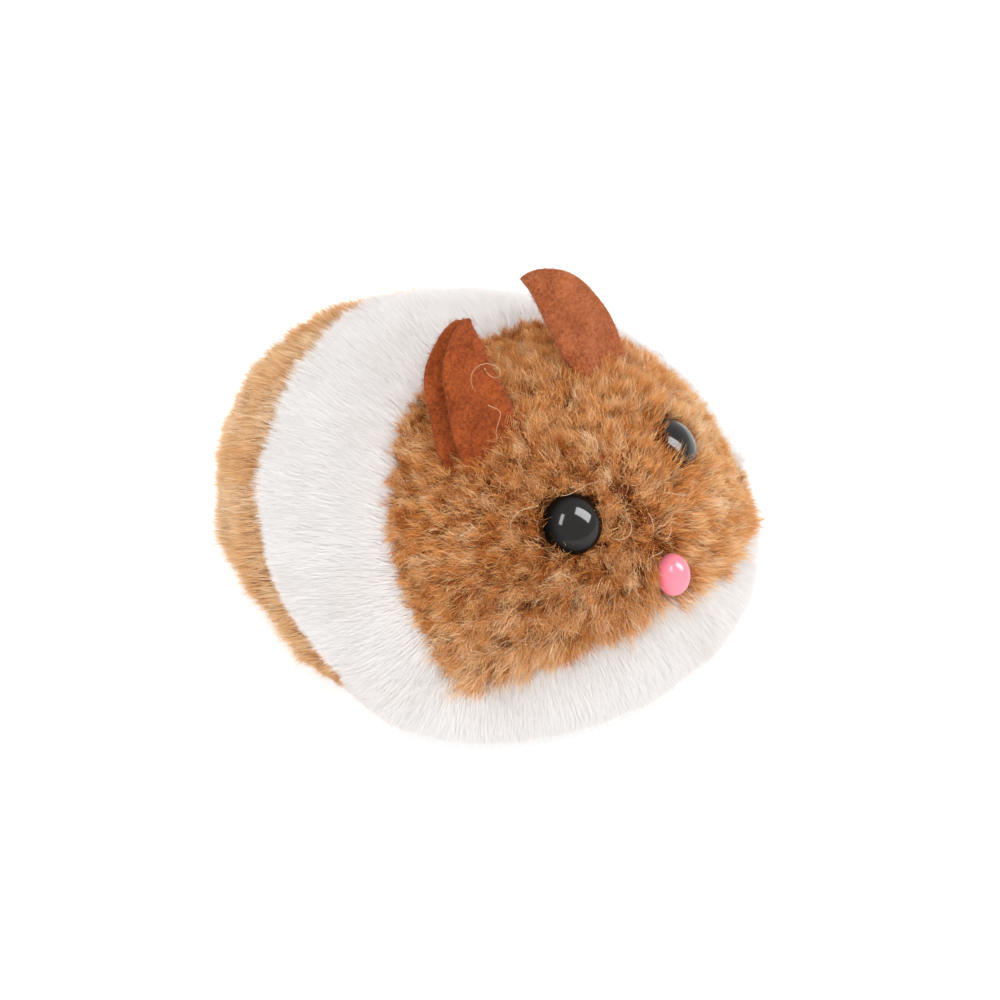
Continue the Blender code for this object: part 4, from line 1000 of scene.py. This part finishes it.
# name, start, way, length, coil, turns and phase
hairs = [
    ("earHair", (-0.0085, -0.0110, 0.0445), (-0.75, -0.35, 0.2), 0.006, 0.0016, 1.1, 0.6),
    ("earFootHair", (-0.0100, -0.0130, 0.0400), (-0.2, -0.6, -0.4), 0.005, 0.0009, 0.8, 2.0),
    ("bridgeHair", (0.0020, -0.0345, 0.0290), (0.5, -0.3, 0.3), 0.005, 0.0009, 0.9, 4.0),
    ("muzzleHair", (0.0000, -0.0370, 0.0235), (0.3, -0.35, 0.5), 0.004, 0.0008, 1.0, 1.2),
    ("eyeTopHair", (-0.0115, -0.0282, 0.0338), (0.75, -0.45, -0.2), 0.0065, 0.0009, 0.6, 1.0),
    ("eyeSideHair", (-0.0075, -0.0338, 0.0268), (0.1, -0.3, 0.6), 0.004, 0.0012, 0.9, 0.2),
    ("cornerHair", (-0.0015, -0.0350, 0.0282), (0.5, -0.25, -0.45), 0.0055, 0.0013, 0.8, 5.2),
    ("noseHair", (-0.0010, -0.0375, 0.0225), (-0.6, -0.2, -0.35), 0.0035, 0.0007, 0.8, 2.5),
    ("browHair", (-0.0160, -0.0270, 0.0340), (-0.6, -0.3, -0.1), 0.005, 0.001, 0.7, 3.0),
]
hairLook = {"colours": ("e6c8a4", "c0946a"), "scale": 2500, "roughness": 0.5, "bumpDepth": 0.00005}


def buildHairs():
    s = hairSettings
    material = grainyMaterial("looseHair", hairLook)
    last = s["stations"] - 1
    angles = fullTurn(s["segments"])
    for name, start, way, length, coil, turns, phase in hairs:
        way = unit(np.array(way))
        sideA = unit(np.cross(way, [0.3, 0.2, 1.0]))
        sideB = np.cross(way, sideA)
        share = np.linspace(0, 1, s["stations"])[:, None]
        swing = phase + 2 * math.pi * turns * share
        curl = sideA * (np.cos(swing) - math.cos(phase)) + sideB * (np.sin(swing) - math.sin(phase))
        spine = np.array(start) + way * length * share + curl * coil
        rings = []
        for index, point in enumerate(spine):
            forward = unit(spine[min(index + 1, last)] - spine[max(index - 1, 0)])
            first = unit(np.cross(forward, [0.2, 0.9, 0.4]))
            second = np.cross(forward, first)
            radius = s["radius"] * (1 - s["taper"] * index / last)
            rings += [point + radius * (first * math.cos(a) + second * math.sin(a)) for a in angles]
        mesh = meshOf(name, np.array(rings), gridFaces(s["stations"], s["segments"], True))
        addPiece(name, mesh, material)


buildHairs()


# Filling: the CAD form, loosened into a lumpy wad of fibre

fillingSettings = {
    "voxel": 0.0012, "smoothing": 6, "shrink": 0.0004, "lump": 0.00035, "lumpSize": 0.008,
    "fibre": 0.00012, "fibreSize": 0.0016,
}
fillingLook = {
    "colours": ("f4f3ef", "d9d7d0"), "scale": 1400, "contrast": 0.7, "roughness": 1.0, "roughSpread": 0.0,
    "bump": 1.0, "bumpDepth": 0.0006, "stretch": (1, 0.35, 0.6), "sockets": {"Sheen Weight": 0.2},
}


def buildFilling():
    s = fillingSettings
    fibre = grainyMaterial("polyesterFibre", fillingLook)
    piece = addPiece("filling", nodes["stuffing"].data.copy(), fibre, "stuffing")
    remesh = piece.modifiers.new("loosened", "REMESH")
    remesh.mode, remesh.voxel_size = "VOXEL", s["voxel"]
    soften = piece.modifiers.new("softened", "SMOOTH")
    soften.factor, soften.iterations = 0.5, s["smoothing"]
    # the mesh as its modifiers leave it becomes the piece's own
    mesh = bpy.data.meshes.new_from_object(piece.evaluated_get(bpy.context.evaluated_depsgraph_get()))
    piece.modifiers.clear()
    piece.data = mesh
    points, normals = np.zeros(len(mesh.vertices) * 3), np.zeros(len(mesh.vertices) * 3)
    mesh.vertices.foreach_get("co", points)
    mesh.vertex_normals.foreach_get("vector", normals)
    points, normals = points.reshape(-1, 3), normals.reshape(-1, 3)
    lumps = s["lump"] * waves(points, s["lumpSize"], 51)
    lumps += s["fibre"] * waves(points * [1, 0.4, 1], s["fibreSize"], 52) - s["shrink"]
    mesh.vertices.foreach_set("co", (points + normals * lumps).ravel())
    mesh.update()
    mesh.polygons.foreach_set("use_smooth", np.ones(len(mesh.polygons), bool))


buildFilling()
print("filling ready")


# Finishes for plastic, rubber and metal

softPlastic = {"Subsurface Weight": 0.08, "Subsurface Scale": 0.001}
brushed = {"metallic": 1.0, "bumpDepth": 0.00005, "stretch": (0.2, 1, 1)}
hardLooks = {
    "trayPlastic": {
        "slot": "tray_plastic", "colours": ("e9e5da", "dcd6c8"), "scale": 1600, "roughness": 0.5,
        "roughSpread": 0.08, "bump": 0.35, "sockets": {**softPlastic, "Subsurface Weight": 0.05},
    },
    "hoodPlastic": {
        "slot": "hood_plastic", "colours": ("dad6cb", "cbc6b8"), "scale": 1200, "roughness": 0.42,
        "roughSpread": 0.08, "bump": 0.25,
    },
    "gearPlastic": {
        "slot": "gear_plastic", "colours": ("f0ece0", "e2dccb"), "scale": 900, "contrast": 0.5,
        "roughness": 0.36, "roughSpread": 0.07, "bump": 0.12, "sockets": softPlastic,
    },
    "tyreRubber": {
        "slot": "tyre_rubber", "colours": ("2c2b2b", "1b1a1a"), "scale": 2200, "contrast": 0.9,
        "roughness": 0.82, "roughSpread": 0.12, "bump": 0.6,
    },
    "brushedSteel": {
        **brushed, "slot": "steel", "colours": ("c6c7ca", "9fa1a6"), "scale": 1500, "roughness": 0.3,
        "bump": 0.15, "stretch": (0.15, 1, 1),
    },
    "bluedSpring": {
        **brushed, "slot": "spring_steel", "colours": ("6d7484", "3c414d"), "scale": 1200, "contrast": 0.8,
        "roughness": 0.28,
    },
    "warmBrass": {
        **brushed, "slot": "brass", "colours": ("d2ab5e", "a98240"), "scale": 1400, "roughness": 0.28,
    },
    "washerPlastic": {
        "slot": "washer_white", "colours": ("f2f1ec", "e3e1da"), "scale": 1000, "contrast": 0.5,
        "roughness": 0.45, "roughSpread": 0.06, "bump": 0.2,
    },
}
finishes = {s["slot"]: grainyMaterial(name, s) for name, s in hardLooks.items()}


def paintNodes():
    # every CAD solid that is still seen takes the finish of its slot
    for part in frame["record"]["subparts"]:
        if part["material_slot"] in finishes:
            for holder in nodes[part["node"]].material_slots:
                holder.material = finishes[part["material_slot"]]


paintNodes()


# Wheels: turned profiles with tread, ribs and soft edges

wheelSettings = {
    "tyre": {"wall": 0.0016, "shoulder": 0.0006, "edge": 0.0003, "treads": 44, "treadDepth": 0.00022},
    "hub": {
        "bore": 0.0010, "boss": 0.0026, "rim": 0.001, "web": 0.0007, "edge": 0.00022,
        "ribs": 6, "ribRise": 0.0005, "ribShare": 0.16,
    },
    "frontWheel": {
        "bore": 0.0011, "boss": 0.0021, "dish": 0.00055, "shoulder": 0.0005, "edge": 0.00025,
        "treads": 30, "treadDepth": 0.0001,
    },
    "segments": 240,
}


def turnedMesh(name, profile, place, shaped):
    # profile holds (x, radius) pairs and "shaped" moves them by angle
    segments = wheelSettings["segments"]
    angle = fullTurn(segments)
    rows = []
    for x, radius in profile:
        moved, reach = shaped(x, radius, angle)
        y, z = place[1] + reach * np.cos(angle), place[2] + reach * np.sin(angle)
        rows.append(np.column_stack([place[0] + moved, y, z]))
    rows.append(rows[0])
    return meshOf(name, np.concatenate(rows), gridFaces(len(rows), segments, True))


def rounded(corners, radius, steps=4):
    # a closed profile with each corner turned into a small arc
    found = []
    for index, corner in enumerate(corners):
        corner = np.array(corner, float)
        before = np.array(corners[index - 1]) - corner
        after = np.array(corners[(index + 1) % len(corners)]) - corner
        reach = min(radius, np.linalg.norm(before) * 0.45, np.linalg.norm(after) * 0.45)
        start, end = corner + unit(before) * reach, corner + unit(after) * reach
        for share in np.linspace(0, 1, steps):
            arc = (1 - share) ** 2 * start + 2 * share * (1 - share) * corner + share ** 2 * end
            found.append(tuple(arc))
    return found


def wheelPlace(node):
    low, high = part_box(node)
    return (low + high) / 2, (high.z - low.z) / 2, (high.x - low.x) / 2


def finishHard(name, node, mesh, body, slot):
    bm = bmesh.new()
    bm.from_mesh(mesh)
    bmesh.ops.remove_doubles(bm, verts=bm.verts, dist=0.000002)
    bmesh.ops.recalc_face_normals(bm, faces=bm.faces)
    bm.to_mesh(mesh)
    bm.free()
    addPiece(name, mesh, finishes[slot], node, body)
    mesh.set_sharp_from_angle(angle=math.radians(40))


def grooved(s, depth, wave):
    # how far the tread cuts in, where "wave" is below zero
    return s["treadDepth"] * held(depth) * (0.5 - 0.5 * np.clip(wave * 3, -1, 1))


def buildTyre(name, node):
    s = wheelSettings["tyre"]
    place, radius, half = wheelPlace(node)
    inner, shoulder = radius - s["wall"], s["shoulder"]
    corners = [
        (-half, inner), (-half, radius - shoulder), (-half + shoulder, radius),
        (half - shoulder, radius), (half, radius - shoulder), (half, inner),
    ]

    def shaped(x, reach, angle):
        wave = np.sin(s["treads"] * angle + math.copysign(0.6, x) * min(abs(x) / half, 1))
        return np.full_like(angle, x), reach - grooved(s, (reach - radius + shoulder * 1.2) / shoulder, wave)

    # extra rings across the tread let the chevron grooves bend
    profile = rounded(corners, s["edge"])
    top = [(x, radius) for x in np.linspace(-half + shoulder * 1.6, half - shoulder * 1.6, 7)]
    split = next(i for i, point in enumerate(profile) if point[0] > 0)
    mesh = turnedMesh(name, profile[:split] + top + profile[split:], place, shaped)
    finishHard(name, node, mesh, "drive_wheels", "tyre_rubber")


def buildHub(name, node):
    s = wheelSettings["hub"]
    place, radius, half = wheelPlace(node)
    web, rim, boss = s["web"], radius - s["rim"], s["boss"]
    corners = [
        (-half, s["bore"]), (-half, boss), (-web, boss + 0.0002),
        (-web, rim - 0.0002), (-half, rim), (-half, radius),
    ]
    corners += [(-x, reach) for x, reach in reversed(corners)]

    def shaped(x, reach, angle):
        # ribs stand up from the web between boss and rim
        onWeb = abs(x) < web * 1.3 and boss < reach < rim
        rib = held((np.cos(s["ribs"] * angle) - 1 + s["ribShare"]) / s["ribShare"] * 2.5)
        return x + (math.copysign(s["ribRise"], x) * rib if onWeb else 0 * angle), np.full_like(angle, reach)

    mesh = turnedMesh(name, rounded(corners, s["edge"]), place, shaped)
    finishHard(name, node, mesh, "drive_wheels", "gear_plastic")


def buildFrontWheel(name, node):
    s = wheelSettings["frontWheel"]
    place, radius, half = wheelPlace(node)
    dish, shoulder, boss = half - s["dish"], s["shoulder"], s["boss"]
    corners = [
        (-half, s["bore"]), (-half, boss), (-dish, boss + 0.0004), (-dish, radius - 0.0015),
        (-half, radius - 0.0011), (-half, radius - shoulder), (-half + shoulder, radius),
    ]
    corners += [(-x, reach) for x, reach in reversed(corners)]

    def shaped(x, reach, angle):
        depth = (reach - radius + shoulder) / shoulder
        return np.full_like(angle, x), reach - grooved(s, depth, np.sin(s["treads"] * angle))

    mesh = turnedMesh(name, rounded(corners, s["edge"]), place, shaped)
    finishHard(name, node, mesh, "front_wheels", "gear_plastic")


for side in ("left", "right"):
    buildTyre(side + "Tyre", side + "_tyre")
    buildHub(side + "Hub", side + "_hub")
    buildFrontWheel(side + "FrontWheel", side + "_front_wheel")
print("wheels ready")


# Screws: a soft-edged head with a cross pressed in, over a cut thread

screwSettings = {
    "head": 0.00168, "headHeight": 0.0005, "rounding": 0.00015, "armHalf": 0.00021, "armReach": 0.00105,
    "recess": 0.00034, "armSlope": 0.00008, "endSlope": 0.0001, "core": 0.00066, "threadRise": 0.0002,
    "pitch": 0.0006, "step": 0.0001, "tip": 0.0006, "segments": 96,
}


def buildScrew(name, node):
    s = screwSettings
    low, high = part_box(node)
    middle, tall = (low + high) / 2, high.z - low.z
    angle = fullTurn(s["segments"])
    rows = []

    def ring(radius, height):
        x, y = middle.x + radius * np.cos(angle), middle.y + radius * np.sin(angle)
        rows.append(np.column_stack([x, y, low.z + height + 0 * angle]))

    for radius in np.linspace(0, s["head"] - s["rounding"], 26):
        offArm = np.minimum(np.abs(radius * np.cos(angle)), np.abs(radius * np.sin(angle)))
        arm = held((s["armHalf"] - offArm) / s["armSlope"] + 0.5)
        ring(radius, s["recess"] * arm * held((s["armReach"] - radius) / s["endSlope"] + 0.5))
    for turn in np.linspace(0, math.pi / 2, 5)[1:]:
        ring(s["head"] - s["rounding"] * (1 - math.sin(turn)), s["rounding"] * (1 - math.cos(turn)))
    ring(s["head"], s["headHeight"])
    for height in np.arange(s["headHeight"], tall - s["tip"], s["step"]):
        phase = (height / s["pitch"] - angle / (2 * math.pi)) % 1
        ring(s["core"] + s["threadRise"] * (1 - np.abs(2 * phase - 1)), height)
    ring(0, tall)
    mesh = meshOf(name, np.concatenate(rows), gridFaces(len(rows), s["segments"], True))
    finishHard(name, node, mesh, "body", "steel")


for number in range(1, 5):
    buildScrew(f"hoodScrew{number}", f"hood_screw_{number}")
    buildScrew(f"frameScrew{number}", f"frame_screw_{number}")
print("screws ready")


# Pressed and moulded parts: the CAD form with its edges eased

easedSettings = {
    "windingKeyWing": {
        "node": "winding_key", "body": "winding_train", "slot": "steel", "edge": 0.0003, "steps": 3,
    },
    "baseTray": {"node": "base_tray", "body": "body", "slot": "tray_plastic", "edge": 0.00018, "steps": 2},
    "motorHood": {"node": "motor_hood", "body": "body", "slot": "hood_plastic", "edge": 0.00025, "steps": 2},
}


def easeNode(name, s):
    mesh = nodes[s["node"]].data.copy()
    bm = bmesh.new()
    bm.from_mesh(mesh)
    bmesh.ops.remove_doubles(bm, verts=bm.verts, dist=0.000005)
    bmesh.ops.dissolve_limit(bm, angle_limit=math.radians(1.0), verts=bm.verts, edges=bm.edges)
    bm.to_mesh(mesh)
    bm.free()
    mesh.materials.clear()
    piece = addPiece(name, mesh, finishes[s["slot"]], s["node"], s["body"])
    eased = piece.modifiers.new("easedEdges", "BEVEL")
    eased.width, eased.segments = s["edge"], s["steps"]
    eased.limit_method, eased.angle_limit = "ANGLE", math.radians(32)
    eased.harden_normals = True


for name, s in easedSettings.items():
    easeNode(name, s)
print("hard parts ready")
